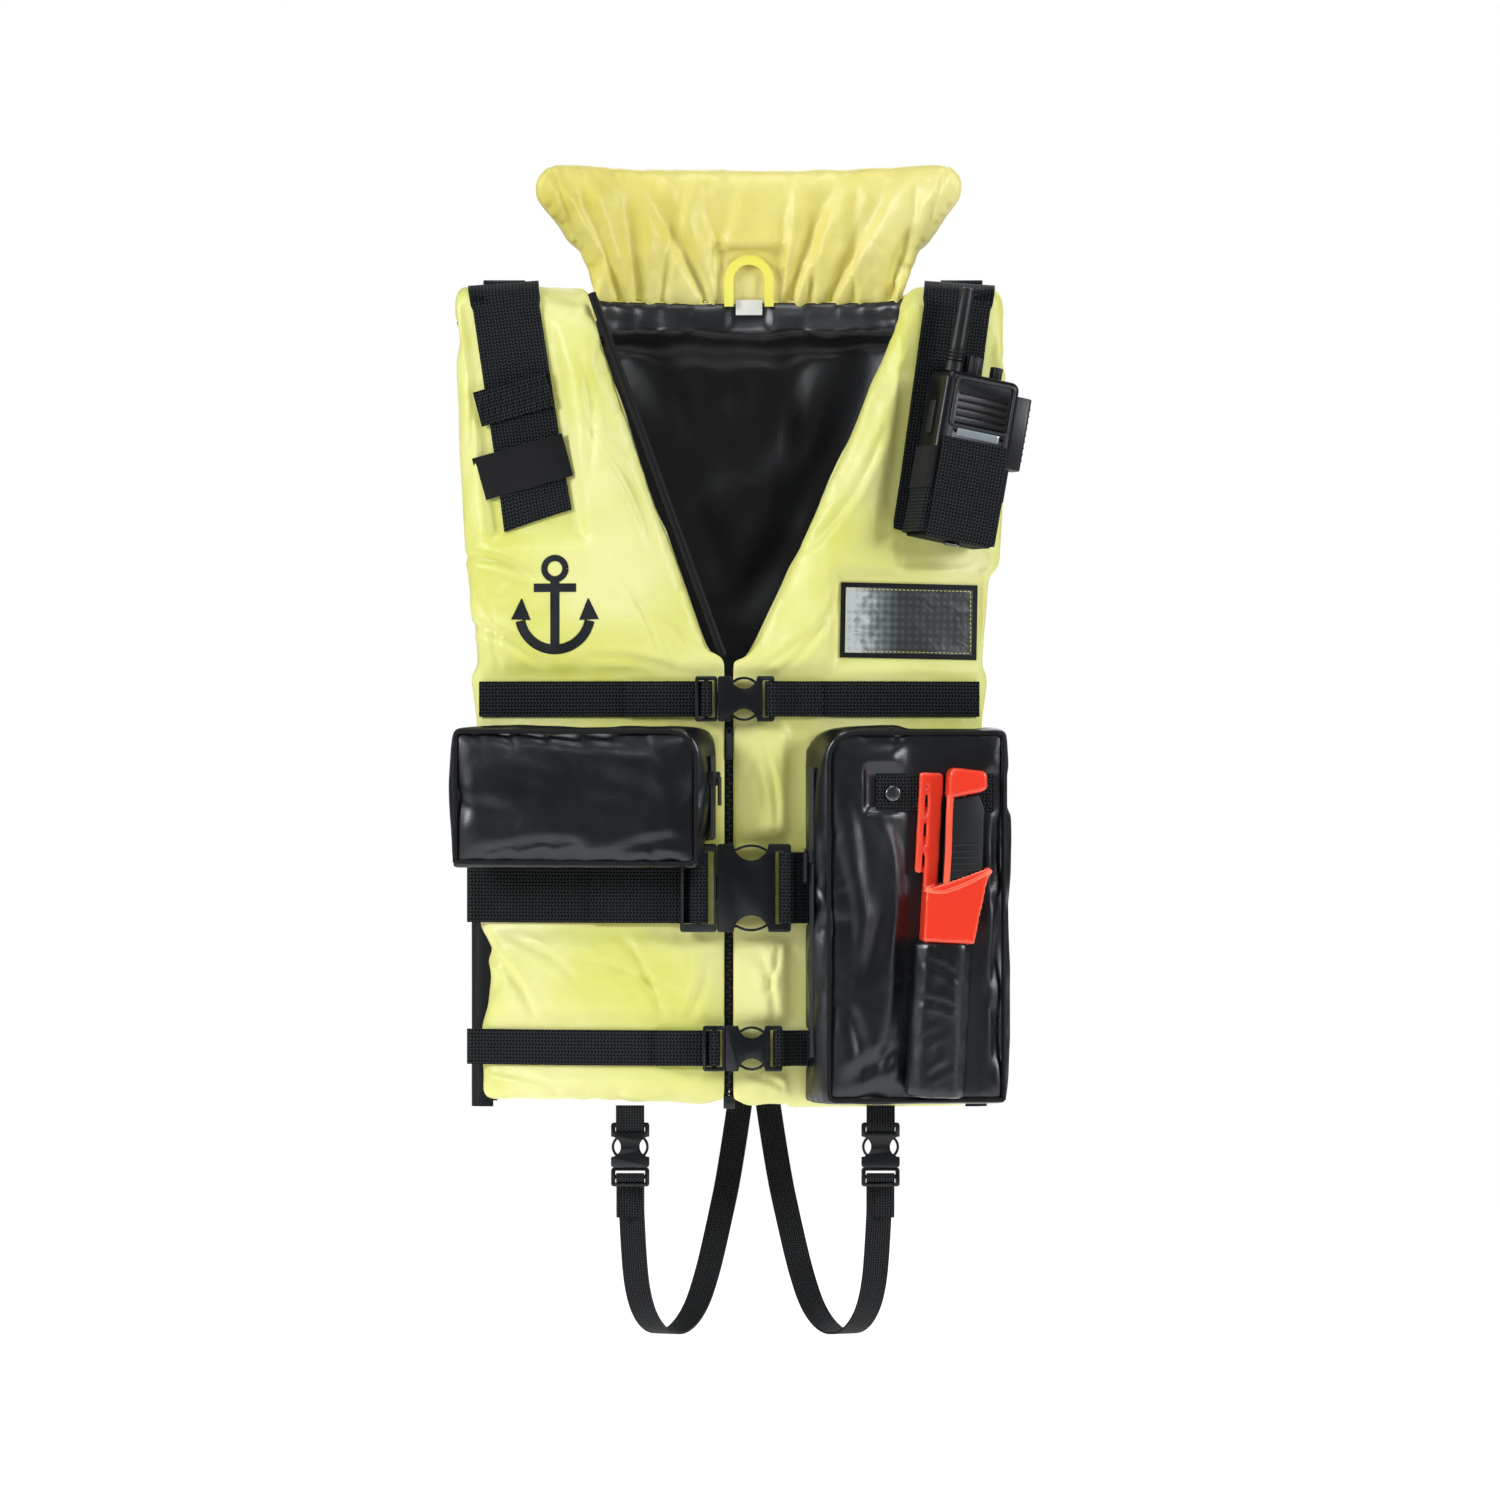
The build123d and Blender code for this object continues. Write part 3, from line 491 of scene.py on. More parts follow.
def primitive(kind: str, **settings: object) -> Object:
    """Adds one of Blender's own mesh shapes and returns it."""
    bpy.ops.object.select_all(action="DESELECT")
    getattr(bpy.ops.mesh, f"primitive_{kind}_add")(**settings)
    return bpy.context.object


def copy_of(node: str, name: str) -> Object:
    """Makes a merged copy of a CAD node, to be worked into a finished piece."""
    made = linked(name, bpy.data.objects[node].data.copy())
    made.data.materials.clear()
    return edit(made, lambda: bpy.ops.mesh.remove_doubles(threshold=1e-5))


def remeshed(piece: Object, voxel: float, rounds: int) -> Object:
    """Gives a piece an even mesh and rounds it off, ready to be swollen or creased."""
    apply_modifier(piece, "REMESH", mode="VOXEL", voxel_size=voxel)
    apply_modifier(piece, "SMOOTH", factor=0.5, iterations=rounds)
    return piece


def units(rows: np.ndarray) -> np.ndarray:
    """Returns each row at unit length."""
    return rows / np.linalg.norm(rows, axis=1)[:, None]


def limited(move: np.ndarray, cap: np.ndarray) -> np.ndarray:
    """Holds each row of a movement under its cap, softly, with its direction kept."""
    size = np.linalg.norm(move, axis=1)
    return move * (cap * np.tanh(size / np.maximum(cap, 1e-6)) / np.maximum(size, 1e-9))[:, None]


def eased(share: np.ndarray) -> np.ndarray:
    """Turns a straight ramp from 0 to 1 into one that starts and ends gently."""
    return share * share * (3 - 2 * share)


def dress(piece: Object, body: str, slot: str, finish: Finish, *replaced: str, angle: float = 40.0) -> Object:
    """Gives a finished piece its material, its body and the CAD nodes it stands for.

    Args:
        piece: The finished mesh.
        body: The CAD body it rides on.
        slot: The record's material slot; not used.
        finish: Its finish.
        replaced: CAD nodes that it stands for.
        angle: Edges sharper than this many degrees stay sharp.

    Returns:
        The piece.
    """
    if not piece.data.materials:
        piece.data.materials.append(finish.get())
    only(piece)
    bpy.ops.object.shade_smooth_by_angle(angle=math.radians(angle))
    if body:
        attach(piece, body)
    if replaced:
        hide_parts(*replaced)
    LOG.info("%s: %d faces", piece.name, len(piece.data.polygons))
    return piece


def eased_copy(
    node: str, body: str, slot: str, finish: Finish, ease_mm: float = 0.7, name: str = ""
) -> Object:
    """Stands in for a moulded CAD node with a copy whose edges are eased, as a mould leaves them."""
    piece = copy_of(node, name or f"{node}_moulded")
    edit(piece, lambda: bpy.ops.mesh.dissolve_limited(angle_limit=math.radians(1.0)))
    apply_modifier(
        piece, "BEVEL", width=ease_mm * MM, segments=2, limit_method="ANGLE", angle_limit=math.radians(35),
        use_clamp_overlap=True, harden_normals=False,
    )
    return dress(piece, body, slot, finish, node, angle=50)


def run_lengths(path: np.ndarray) -> np.ndarray:
    """Distance along a path at each of its points."""
    steps = np.linalg.norm(np.diff(path, axis=0), axis=1)
    return np.concatenate([[0.0], np.cumsum(steps)])


def resampled(path: Sequence[Sequence[float]], pitch: float) -> np.ndarray:
    """Points along a path at about the given pitch, both ends kept."""
    rough = np.array(path, float)
    lengths = run_lengths(rough)
    count = max(2, int(lengths[-1] / pitch) + 1)
    places = np.linspace(0, lengths[-1], count)
    return np.stack([np.interp(places, lengths, rough[:, i]) for i in range(3)], axis=1)


def strip(
    name: str, path: Sequence[Sequence[float]], across: Sequence[float] | np.ndarray, width: float,
    thick: float, pitch: float = 0.004, rows: int = 6,
) -> Object:
    """Lays a band of webbing along a path.

    Args:
        name: The piece's name.
        path: Points along the middle of the band.
        across: One direction across the band, or one for each path point.
        width: The band's width.
        thick: The band's thickness.
        pitch: Distance between the cross rows of faces.
        rows: Faces across the band.

    Returns:
        A closed mesh, with a UV map in metres.
    """
    line = resampled(path, pitch)
    sides = np.broadcast_to(np.array(across, float), (len(path), 3)) if np.ndim(across) == 1 else np.array(across)
    lengths = run_lengths(np.array(path, float))
    places = np.linspace(0, lengths[-1], len(line))
    turned = np.stack([np.interp(places, lengths, sides[:, i]) for i in range(3)], axis=1)
    turned = units(turned)
    count = len(line) - 1
    made = primitive("grid", x_subdivisions=count, y_subdivisions=rows, size=1, calc_uvs=True)
    made.name = made.data.name = name
    flat = points_of(made)
    column = np.rint((flat[:, 0] + 0.5) * count).astype(int)
    move_points(made, line[column] + turned[column] * (flat[:, 1] * width)[:, None])
    uv = made.data.uv_layers.active.data
    for loop in made.data.loops:
        i = loop.vertex_index
        uv[loop.index].uv = (places[column[i]], (flat[i, 1] + 0.5) * width)
    apply_modifier(made, "SOLIDIFY", thickness=thick, offset=0.0)
    return made


def cord_mesh(name: str, path: Sequence[Sequence[float]], radius: float, sides: int = 8) -> Object:
    """Makes a thin closed tube along points, for piping, thread or a moulded rib."""
    curve = bpy.data.curves.new(name, "CURVE")
    curve.dimensions = "3D"
    curve.bevel_depth = radius
    curve.bevel_resolution = max(0, sides // 4 - 1)
    curve.use_fill_caps = True
    spline = curve.splines.new("POLY")
    spline.points.add(len(path) - 1)
    for point, place in zip(spline.points, path):
        point.co = (*place, 1)
    only(linked(name, curve))
    bpy.ops.object.convert(target="MESH")
    return bpy.context.object


def joined(name: str, parts: Sequence[Object]) -> Object:
    """Joins meshes into one named piece."""
    bpy.ops.object.select_all(action="DESELECT")
    for part in parts:
        part.select_set(True)
    bpy.context.view_layer.objects.active = parts[0]
    bpy.ops.object.join()
    made = bpy.context.object
    made.name = made.data.name = name
    return made


# --- the vest's own shape ------------------------------------------------------------------


@dataclass(frozen=True)
class Torso:
    """The round faces and the shoulder arch that the panels follow."""

    x: float = -0.014
    y: float = -0.038
    half_depth: float = 0.095
    face_radius: float = 0.460
    arch_radius: float = 0.060
    shoulder_z: float = -0.023
    girth_half: float = 0.184

    def face_offset(self, points: np.ndarray) -> np.ndarray:
        """How far points stand outside the torso's outer surface."""
        shift = self.face_radius - self.half_depth
        side = np.where(points[:, 1] < self.y, shift, -shift)
        radius = np.hypot(points[:, 0] - self.x, points[:, 1] - self.y - side)
        face = radius - self.face_radius
        out = np.abs(points[:, 1] - self.y) - (self.half_depth - self.arch_radius)
        up = points[:, 2] - (self.shoulder_z - self.arch_radius)
        arch = np.hypot(np.maximum(out, 0), np.maximum(up, 0)) + np.minimum(np.maximum(out, up), 0)
        return np.maximum(face, arch - self.arch_radius)

    def chest(self, x: float, lift: float = 0.0) -> float:
        """The chest's Y at an X, a little in front of it."""
        radius = self.face_radius + lift
        return self.y + self.face_radius - self.half_depth - math.sqrt(radius**2 - (x - self.x) ** 2)

    def chest_path(self, x_from: float, x_to: float, z: float, lift: float) -> list[tuple[float, float, float]]:
        """Points across the chest at one height."""
        return [(x, self.chest(x, lift), z) for x in np.linspace(x_from, x_to, 40)]

    def girth_path(self, x_from: float, z: float, lift: float, turn: int) -> list[tuple[float, float, float]]:
        """Points from the chest round one side to the middle of the back.

        Args:
            x_from: Where on the chest it starts.
            z: Its height.
            lift: How far it stands off the vest.
            turn: 1 round the wearer's left side, -1 round the right.

        Returns:
            The points, in order.
        """
        side = self.x + turn * (self.girth_half + lift)
        corner = 0.008 + lift
        knee = side - turn * corner
        front = self.chest_path(x_from, knee, z, lift)
        depth = front[-1][1]
        bend = [
            (knee + turn * corner * math.sin(a), depth + corner * 0.6 * (1 - math.cos(a)), z)
            for a in np.linspace(0.3, math.pi / 2, 6)
        ]
        half = front + bend
        mirrored = [(x, 2 * self.y - y, h) for x, y, h in reversed(half)]
        back = [p for p in mirrored if turn * (p[0] - self.x) >= 0]
        return half + back


TORSO = Torso()
COLLAR_RADIUS, COLLAR_Y = 0.230, 0.004
NECK_HALF = 0.116


@dataclass(frozen=True)
class Crease:
    """One fold in cloth, drawn on the front view in millimetres.

    A fold sinks along its line by depth and rises beside it, and fades out at both ends.
    """

    x0: float
    z0: float
    x1: float
    z1: float
    wide: float
    deep: float

    def lift(self, x: np.ndarray, z: np.ndarray) -> np.ndarray:
        """How far the fold moves points outwards, in millimetres."""
        run = np.array([self.x1 - self.x0, self.z1 - self.z0])
        length = float(np.hypot(*run))
        t = ((x - self.x0) * run[0] + (z - self.z0) * run[1]) / length**2
        aside = ((x - self.x0) * run[1] - (z - self.z0) * run[0]) / length
        bow = aside + 0.06 * length * np.sin(math.pi * np.clip(t, 0, 1))
        fade = np.clip(1 - np.abs(2 * t - 1) ** 2.5, 0, 1)
        beside = np.exp(-((bow - 1.7 * self.wide) ** 2) / self.wide**2)
        beside += np.exp(-((bow + 1.7 * self.wide) ** 2) / self.wide**2)
        return self.deep * fade * (0.45 * beside - np.exp(-(bow**2) / self.wide**2))


def fractal(points: np.ndarray, stretch: Sequence[float], seed: float) -> np.ndarray:
    """Smooth noise at points, in about -1 to 1, stretched by a size in metres along each axis."""
    scaled = points / np.array(stretch) + seed
    return np.array([noise.fractal(Vector(p), 0.9, 2.0, 3) for p in scaled])


def puff(piece: Object, pressure: float, frames: int = 20) -> None:
    """Fills a closed cloth shell by simulation and applies the result.

    Args:
        piece: The closed shell.
        pressure: Cloth pressure.
        frames: How many frames to run.
    """
    only(piece)
    cloth = piece.modifiers.new("Cloth", "CLOTH")
    cloth.settings.quality = 4
    cloth.settings.mass = 0.25
    cloth.settings.tension_stiffness = cloth.settings.compression_stiffness = 12
    cloth.settings.shear_stiffness = 6
    cloth.settings.bending_stiffness = 0.4
    cloth.settings.use_pressure = True
    cloth.settings.uniform_pressure_force = pressure
    cloth.settings.effector_weights.gravity = 0
    cloth.collision_settings.use_collision = False
    cloth.point_cache.frame_end = frames
    for frame in range(1, frames + 1):
        bpy.context.scene.frame_set(frame)
    bpy.ops.object.modifier_apply(modifier=cloth.name)
    bpy.context.scene.frame_set(1)


# --- studio --------------------------------------------------------------------------------


@dataclass
class Studio:
    """Camera, white surround, floor and soft lights."""

    camera: tuple[float, float, float] = (0.0007, -6.004, -0.353)
    lens: float = 200.0
    aim: tuple[float, float, float] = (0.0, 0.0, -0.35)  # the middle of the vest, where every lamp points
    floor_z: float = -0.797  # the vest hangs by its loop, with the straps just clear of the floor
    floor_size: float = 3.2
    floor_y: float = 0.4
    ambient: float = 0.13
    lamps: tuple[tuple[str, tuple[float, float, float], float, float], ...] = (
        ("left_bank", (-2.2, -1.35, 0.6), 0.9, 50.0),
        ("right_bank", (2.2, -1.25, 0.4), 0.9, 38.0),
        ("front", (-0.7, -4.2, 2.3), 0.7, 18.0),
        ("top", (0.0, -0.8, 1.9), 0.9, 17.0),
        ("behind", (0.6, 2.4, 0.8), 1.6, 20.0),
    )

    def build(self) -> None:
        """Makes the camera, the surround and the lights."""
        camera = linked("camera", bpy.data.cameras.new("camera"))
        camera.location = self.camera
        camera.rotation_euler = (math.pi / 2, 0, 0)
        camera.data.lens = self.lens
        camera.data.sensor_width = 36.0
        camera.data.clip_end = 100.0
        bpy.context.scene.camera = camera
        world = bpy.data.worlds.new("white_surround")
        world.use_nodes = True
        tree = world.node_tree
        surround = tree.nodes["Background"]
        surround.inputs["Color"].default_value = linear("#FFFFFF")
        seen = add_node(tree, "LightPath").outputs["Is Camera Ray"]
        strength = add_node(tree, "MapRange", {"Value": seen, "To Min": self.ambient, "To Max": 1.0})
        tree.links.new(strength.outputs["Result"], surround.inputs["Strength"])
        bpy.context.scene.world = world
        bpy.context.scene.view_settings.view_transform = "Standard"
        for name, place, size, power in self.lamps:
            light = bpy.data.lights.new(name, "AREA")
            light.size, light.energy = size, power
            light.color = linear("#F4F8FF")[:3]
            lamp = linked(name, light)
            lamp.location = place
            lamp.rotation_euler = (Vector(self.aim) - Vector(place)).to_track_quat("-Z", "Y").to_euler()

    def floor(self) -> None:
        """Makes the pale matt floor."""
        floor = primitive("plane", size=self.floor_size, location=(0, self.floor_y, self.floor_z))
        floor.name = "studio_floor"
        material, tree, shader = blank("pale_matt_floor", Roughness=0.9, Specular_IOR_Level=0.0)
        place = add_node(tree, "TexCoord").outputs["Object"]
        grain = add_node(tree, "TexNoise", {"Vector": place, "Scale": 300.0})
        tone = add_node(tree, "ValToRGB", {"Fac": grain.outputs["Fac"]}, ((0.0, "#B9B9B9"), (1.0, "#BEBEBE")))
        tree.links.new(tone.outputs["Color"], shader.inputs["Base Color"])
        shader.inputs["Emission Color"].default_value = linear("#FFFFFF")
        shader.inputs["Emission Strength"].default_value = 0.86
        floor.data.materials.append(material)


# --- straps that hang below the hem --------------------------------------------------------


@dataclass
class CrotchStraps:
    """Two loops of 20 mm webbing with a buckle each, from the front hem to the back one."""

    fronts: tuple[tuple[str, float, float], ...] = (("right", -0.084, -0.006), ("left", 0.093, 0.013))
    front_y: float = -0.1022
    back_y: float = 0.040
    width: float = 0.020
    thick: float = 0.0015
    lengths: tuple[float, float] = (0.347, 0.348)
    route: tuple[tuple[float, float], ...] = (
        (0.0, -0.655), (0.0025, -0.696), (0.0095, -0.742), (0.030, -0.766), (0.059, -0.771),
        (0.086, -0.757), (0.104, -0.730), (0.120, -0.694), (0.136, -0.655), (0.150, -0.604),
    )

    def centreline(self, name: str, points: Sequence[Vector]) -> np.ndarray:
        """Reads the smooth line that a strap follows.

        Args:
            name: The name of the strap.
            points: The route's points, which the line bends towards.

        Returns:
            Points along the line.
        """
        curve = bpy.data.curves.new(f"{name}_line", "CURVE")
        curve.dimensions = "3D"
        curve.resolution_u = 12
        spline = curve.splines.new("NURBS")
        spline.points.add(len(points) - 1)
        for point, place in zip(spline.points, points):
            point.co = (*place, 1)
        spline.order_u = 3
        spline.use_endpoint_u = True
        holder = linked(f"{name}_line", curve)
        mesh = bpy.data.meshes.new_from_object(holder)
        line = np.array([v.co[:] for v in mesh.vertices])
        bpy.data.objects.remove(holder)
        bpy.data.meshes.remove(mesh)
        return line

    def build(self) -> None:
        """Makes both straps."""
        for (side, front_x, back_x), length in zip(self.fronts, self.lengths):
            start, end = Vector((front_x, self.front_y, 0)), Vector((back_x, self.back_y, 0))
            along = (end - start).normalized()
            stretch = (end - start).length / self.route[-1][0]
            points = [start + along * (s * stretch) + Vector((0, 0, z)) for s, z in self.route]
            line = self.centreline(side, points)
            across = along.cross(Vector((0, 0, 1)))
            name = f"{side}_crotch_webbing"
            strap = strip(name, line, across, self.width, self.thick, 0.003, 4)
            dress(strap, "", "webbing", Finish.STRAP, f"{side}_crotch_strap", angle=60)
            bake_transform(strap)


# --- the quilted body ----------------------------------------------------------------------


@dataclass
class Pressed:
    """Where belts, pockets and webbing hold the cloth flat. Millimetres, in the front view."""

    boxes: tuple[tuple[float, float, float, float, float], ...] = (
        # x from, x to, z from, z to, how far outside it the cloth is still drawn in
        (-230, 200, -331, -303, 14), (-230, 200, -477, -423, 16), (-230, 200, -577, -549, 14),
        (-222, -12, -440, -333, 6), (28, 190, -606, -334, 6), (62, 164, -291, -233, 10),
        (108, 196, -222, -84, 8), (-50, 32, -486, -414, 6),
    )
    strips: tuple[tuple[float, float, float, float, float], ...] = (
        # x at the top, x low down, its z low down, half width, margin
        (-176, -148, -200, 30, 9), (151, 126, -200, 30, 9),
    )

    def freedom(self, x: np.ndarray, z: np.ndarray) -> np.ndarray:
        """Share of its full height that the cloth may rise to, 0 to 1."""
        free = np.ones_like(x)
        for x0, x1, z0, z1, margin in self.boxes:
            gap = np.hypot(np.maximum(np.maximum(x0 - x, x - x1), 0), np.maximum(np.maximum(z0 - z, z - z1), 0))
            free = np.minimum(free, np.clip(gap / margin, 0, 1))
        for top, low, z_low, half, margin in self.strips:
            middle = low + (top - low) * (z - z_low) / (-13 - z_low)
            gap = np.maximum(np.abs(x - middle) - half, 0)
            gap = np.hypot(gap, np.maximum(z_low - z, 0))
            free = np.minimum(free, np.clip(gap / margin, 0, 1))
        return eased(free)


@dataclass
class Panel:
    """One foam panel in its cover, with the lining on its inner side."""

    name: str
    foam: str
    cover: str
    lining: str
    creases: tuple[Crease, ...]
    rise: float = 0.0075
    voxel: float = 0.005
    split: float = -0.0235  # the seam of cover and lining, inward from the outer surface
    lips: tuple[float, float] = (0.0084, 0.0067)  # how far the right and the left front edge roll in
    front: bool = True
    replaces_lining: bool = False

    def shape(self) -> Object:
        """Swells, creases and smooths a copy of the foam."""
        piece = remeshed(copy_of(self.foam, self.name), self.voxel, 6)
        rest = points_of(piece) + normals_of(piece) * 0.0021
        rest = self.keep_out(rest)
        if self.front:
            rest = self.close_lips(rest)
        move_points(piece, rest)
        puff(piece, 4.0)
        swollen = points_of(piece)
        move = swollen - rest
        x, y, z = rest.T / MM
        outside = TORSO.face_offset(rest) > self.split
        free = self.pressed(rest)
        cap = np.where(outside, self.rise * free, 0.004)
        cap = cap * np.clip((np.abs(y - TORSO.y / MM) - 1) / 14, 0, 1)
        cap = np.where((z > -40) & (np.abs(x) < 122), np.minimum(cap, 0.0006), cap)
        near_zip = (np.abs(x - TORSO.x / MM) < 13) & (z < -292) & (y < -80)
        cap = np.where(near_zip, np.minimum(cap, 0.0015), cap)
        move = limited(move, cap)
        near_middle = (np.abs(x - TORSO.x / MM) < 13) & (z < -286) & self.front
        move[:, 0] = np.where(near_middle, move[:, 0] * 0.1, move[:, 0])
        move_points(piece, rest + move)
        apply_modifier(piece, "SUBSURF", levels=1, render_levels=1)
        self.crumple(piece)
        return piece

    def keep_out(self, points: np.ndarray) -> np.ndarray:
        """Pulls in the points that came out past the torso's outer surface or past the zip's gap."""
        offset = TORSO.face_offset(points)
        over = np.maximum(offset + 0.0001, 0)
        shift = TORSO.face_radius - TORSO.half_depth
        side = np.where(points[:, 1] < TORSO.y, shift, -shift)
        axis = np.stack([points[:, 0] - TORSO.x, points[:, 1] - TORSO.y - side, np.zeros(len(points))], axis=1)
        axis = units(axis)
        top = points[:, 2] > TORSO.shoulder_z - 0.012
        axis = np.where(top[:, None], np.array((0.0, 0.0, 1.0)), axis)
        return points - axis * over[:, None]

    def close_lips(self, points: np.ndarray) -> np.ndarray:
        """Rolls the front edges towards each other over the zip, with room for its slider behind them."""
        aside = np.abs(points[:, 0] - TORSO.x)
        near = np.clip((0.024 - aside) / 0.015, 0, 1) * np.clip((-0.262 - points[:, 2]) / 0.022, 0, 1)
        ahead = np.clip((-0.1275 - points[:, 1]) / 0.0026, 0, 1)
        reach = np.where(points[:, 0] < TORSO.x, *self.lips)
        roll = reach * near * eased(ahead)
        moved = points.copy()
        moved[:, 0] -= np.sign(points[:, 0] - TORSO.x) * roll
        return moved

    def pressed(self, points: np.ndarray) -> np.ndarray:
        """How free the cloth is at points, 0 to 1."""
        x, _, z = points.T / MM
        if self.front:
            return Pressed().freedom(x, z)
        belts = np.ones_like(z)
        for middle, half in ((-450.0, 27.0), (-563.0, 14.0)):
            belts = np.minimum(belts, np.clip((np.abs(z - middle) - half) / 30, 0, 1))
        straps = np.clip((np.minimum(np.abs(x + 176), np.abs(x - 151)) - 27) / 12, 0, 1)
        straps = np.where(z > -90, straps, 1)
        return np.minimum(eased(belts), straps)

    def crumple(self, piece: Object) -> None:
        """Draws the creases and the small unevenness of cloth over foam."""
        points, normals = points_of(piece), normals_of(piece)
        x, y, z = points.T / MM
        offset = TORSO.face_offset(points)
        outer = np.clip((offset - self.split) / 0.010, 0, 1)
        free = self.pressed(points)
        lift = np.zeros(len(points))
        for crease in self.creases:
            lift += crease.lift(x, z)
        lift *= 1.7
        lift += 1.4 * fractal(points, (0.05, 0.05, 0.09), 3.0) + 0.4 * fractal(points, (0.018, 0.018, 0.03), 8.0)
        hem = np.clip((z + 606) / 34, 0, 1)
        pucker = np.sin(x / 4.1 + 2.2 * np.sin(x / 17.0)) * np.exp(-(((z + 597) / 12) ** 2))
        lift += 0.9 * pucker * (0.35 + 0.65 * hem)
        still = np.clip((np.abs(y - TORSO.y / MM) - 1) / 12, 0, 1)
        still = still * np.clip((np.abs(x - TORSO.x / MM) - 6) / 10, 0, 1) if self.front else still
        lift = np.where(lift > 0, lift * (0.04 + 0.96 * free), lift * (0.25 + 0.75 * free))
        inner = 1.3 * fractal(points, (0.06, 0.06, 0.16), 21.0)
        if not self.front:
            for fold in LINING_FOLDS:
                inner += fold.lift(x, z)
        total = (lift * outer + inner * (1 - outer)) * still * MM
        moved = points + normals * total[:, None]
        if not self.front:
            # the lining lies flat behind the label
            flat = np.clip((17 - np.abs(x)) / 5, 0, 1) * np.clip((z + 52) / 6, 0, 1)
            moved[:, 1] += flat * np.maximum(0.0046 - moved[:, 1], 0) * (y > -20)
        move_points(piece, moved)

    def build(self) -> Object:
        """Makes the cover and the lining and returns the cover."""
        whole = self.shape()
        cover, lining = self.cut(whole)
        for part in (cover, lining):
            apply_modifier(part, "SOLIDIFY", thickness=0.0009, offset=-1.0)
        hidden = ("lining",) if self.replaces_lining else ()
        dress(lining, "vest", "lining_fabric", Finish.LINING, *hidden, angle=80)
        dress(cover, "vest", "hi_vis_fabric", Finish.SHELL, self.cover, self.foam, angle=80)
        return cover

    def cut(self, whole: Object) -> tuple[Object, Object]:
        """Parts the outer cloth from the lining along a smooth seam."""
        points = points_of(whole)
        offset = TORSO.face_offset(points)
        if not self.front:
            # inside the neck the lining comes right up to the collar
            x, y, z = points.T
            collar_y = COLLAR_Y - COLLAR_RADIUS + np.sqrt(np.maximum(COLLAR_RADIUS**2 - x**2, 0))
            neck = (np.abs(x) < NECK_HALF) & (z > -0.060) & (y < collar_y + 0.004)
            offset = np.where(neck, -0.03, offset)
        mesh = whole.data
        outer = np.array([np.mean([offset[i] for i in f.vertices]) > self.split for f in mesh.polygons])
        sides: dict[tuple[int, int], list[bool]] = {}
        for face, kept in zip(mesh.polygons, outer):
            for key in face.edge_keys:
                sides.setdefault(key, []).append(bool(kept))
        seam = [key for key, kept in sides.items() if len(set(kept)) == 2]
        links: dict[int, list[int]] = {}
        for a, b in seam:
            links.setdefault(a, []).append(b)
            links.setdefault(b, []).append(a)
        for _ in range(14):
            fresh = {i: points[near].mean(axis=0) for i, near in links.items()}
            for i, place in fresh.items():
                points[i] = 0.5 * points[i] + 0.5 * place
        move_points(whole, points)
        lining = whole.copy()
        lining.data = whole.data.copy()
        lining.name = lining.data.name = self.lining
        bpy.context.scene.collection.objects.link(lining)
        for part, kept in ((whole, outer), (lining, ~outer)):
            only(part)
            bpy.ops.object.mode_set(mode="EDIT")
            bpy.ops.mesh.select_mode(type="FACE")
            bpy.ops.mesh.select_all(action="DESELECT")
            bpy.ops.object.mode_set(mode="OBJECT")
            part.data.polygons.foreach_set("select", (~kept).tolist())
            bpy.ops.object.mode_set(mode="EDIT")
            bpy.ops.mesh.delete(type="FACE")
            bpy.ops.object.mode_set(mode="OBJECT")
        return whole, lining


RIGHT_CREASES = (
    Crease(-118, -120, -66, -215, 3.2, 1.5), Crease(-98, -70, -58, -170, 3.0, 1.1),
    Crease(-205, -215, -150, -232, 3.2, 1.7), Crease(-203, -262, -140, -296, 3.6, 1.6),
    Crease(-198, -236, -176, -300, 3.2, 1.2), Crease(-92, -232, -60, -300, 3.0, 1.2),
    Crease(-60, -262, -30, -300, 2.6, 1.1), Crease(-120, -288, -44, -300, 2.8, 1.0),
    Crease(-190, -488, -150, -545, 3.4, 1.7), Crease(-172, -484, -118, -520, 3.0, 1.3),
    Crease(-92, -482, -60, -548, 3.4, 1.5), Crease(-30, -488, -44, -545, 3.0, 1.4),
    Crease(-140, -500, -40, -532, 4.0, 1.3), Crease(-186, -580, -130, -596, 2.6, 1.5),
    Crease(-100, -580, -40, -592, 2.6, 1.3), Crease(-204, -60, -200, -160, 3.0, 1.4),
    Crease(-124, -60, -112, -160, 3.6, 1.2),
)
LEFT_CREASES = (
    Crease(98, -120, 38, -215, 3.2, 1.5), Crease(86, -70, 52, -170, 3.0, 1.1),
    Crease(172, -222, 120, -232, 3.0, 1.3), Crease(70, -232, 20, -300, 3.2, 1.3),
    Crease(44, -268, 6, -296, 2.8, 1.2), Crease(6, -345, 20, -410, 2.6, 1.3),
    Crease(-2, -350, 8, -398, 2.2, 1.0), Crease(4, -490, 18, -545, 2.8, 1.4),
    Crease(22, -484, 8, -530, 2.4, 1.1), Crease(-4, -582, 28, -592, 2.4, 1.3),
    Crease(172, -302, 110, -298, 2.6, 1.1),
)
BACK_CREASES = (
    Crease(-150, -120, -70, -180, 5.0, 1.8), Crease(120, -120, 50, -190, 5.0, 1.8),
    Crease(-190, -230, -90, -260, 4.6, 1.7), Crease(165, -240, 70, -272, 4.6, 1.7),
    Crease(-120, -330, 60, -352, 5.5, 1.8), Crease(-170, -400, -90, -425, 4.0, 1.6),
    Crease(150, -398, 60, -425, 4.0, 1.6), Crease(-150, -500, -60, -530, 4.5, 1.7),
    Crease(120, -495, 40, -535, 4.5, 1.7), Crease(-40, -60, -30, -160, 4.0, 1.2),
)

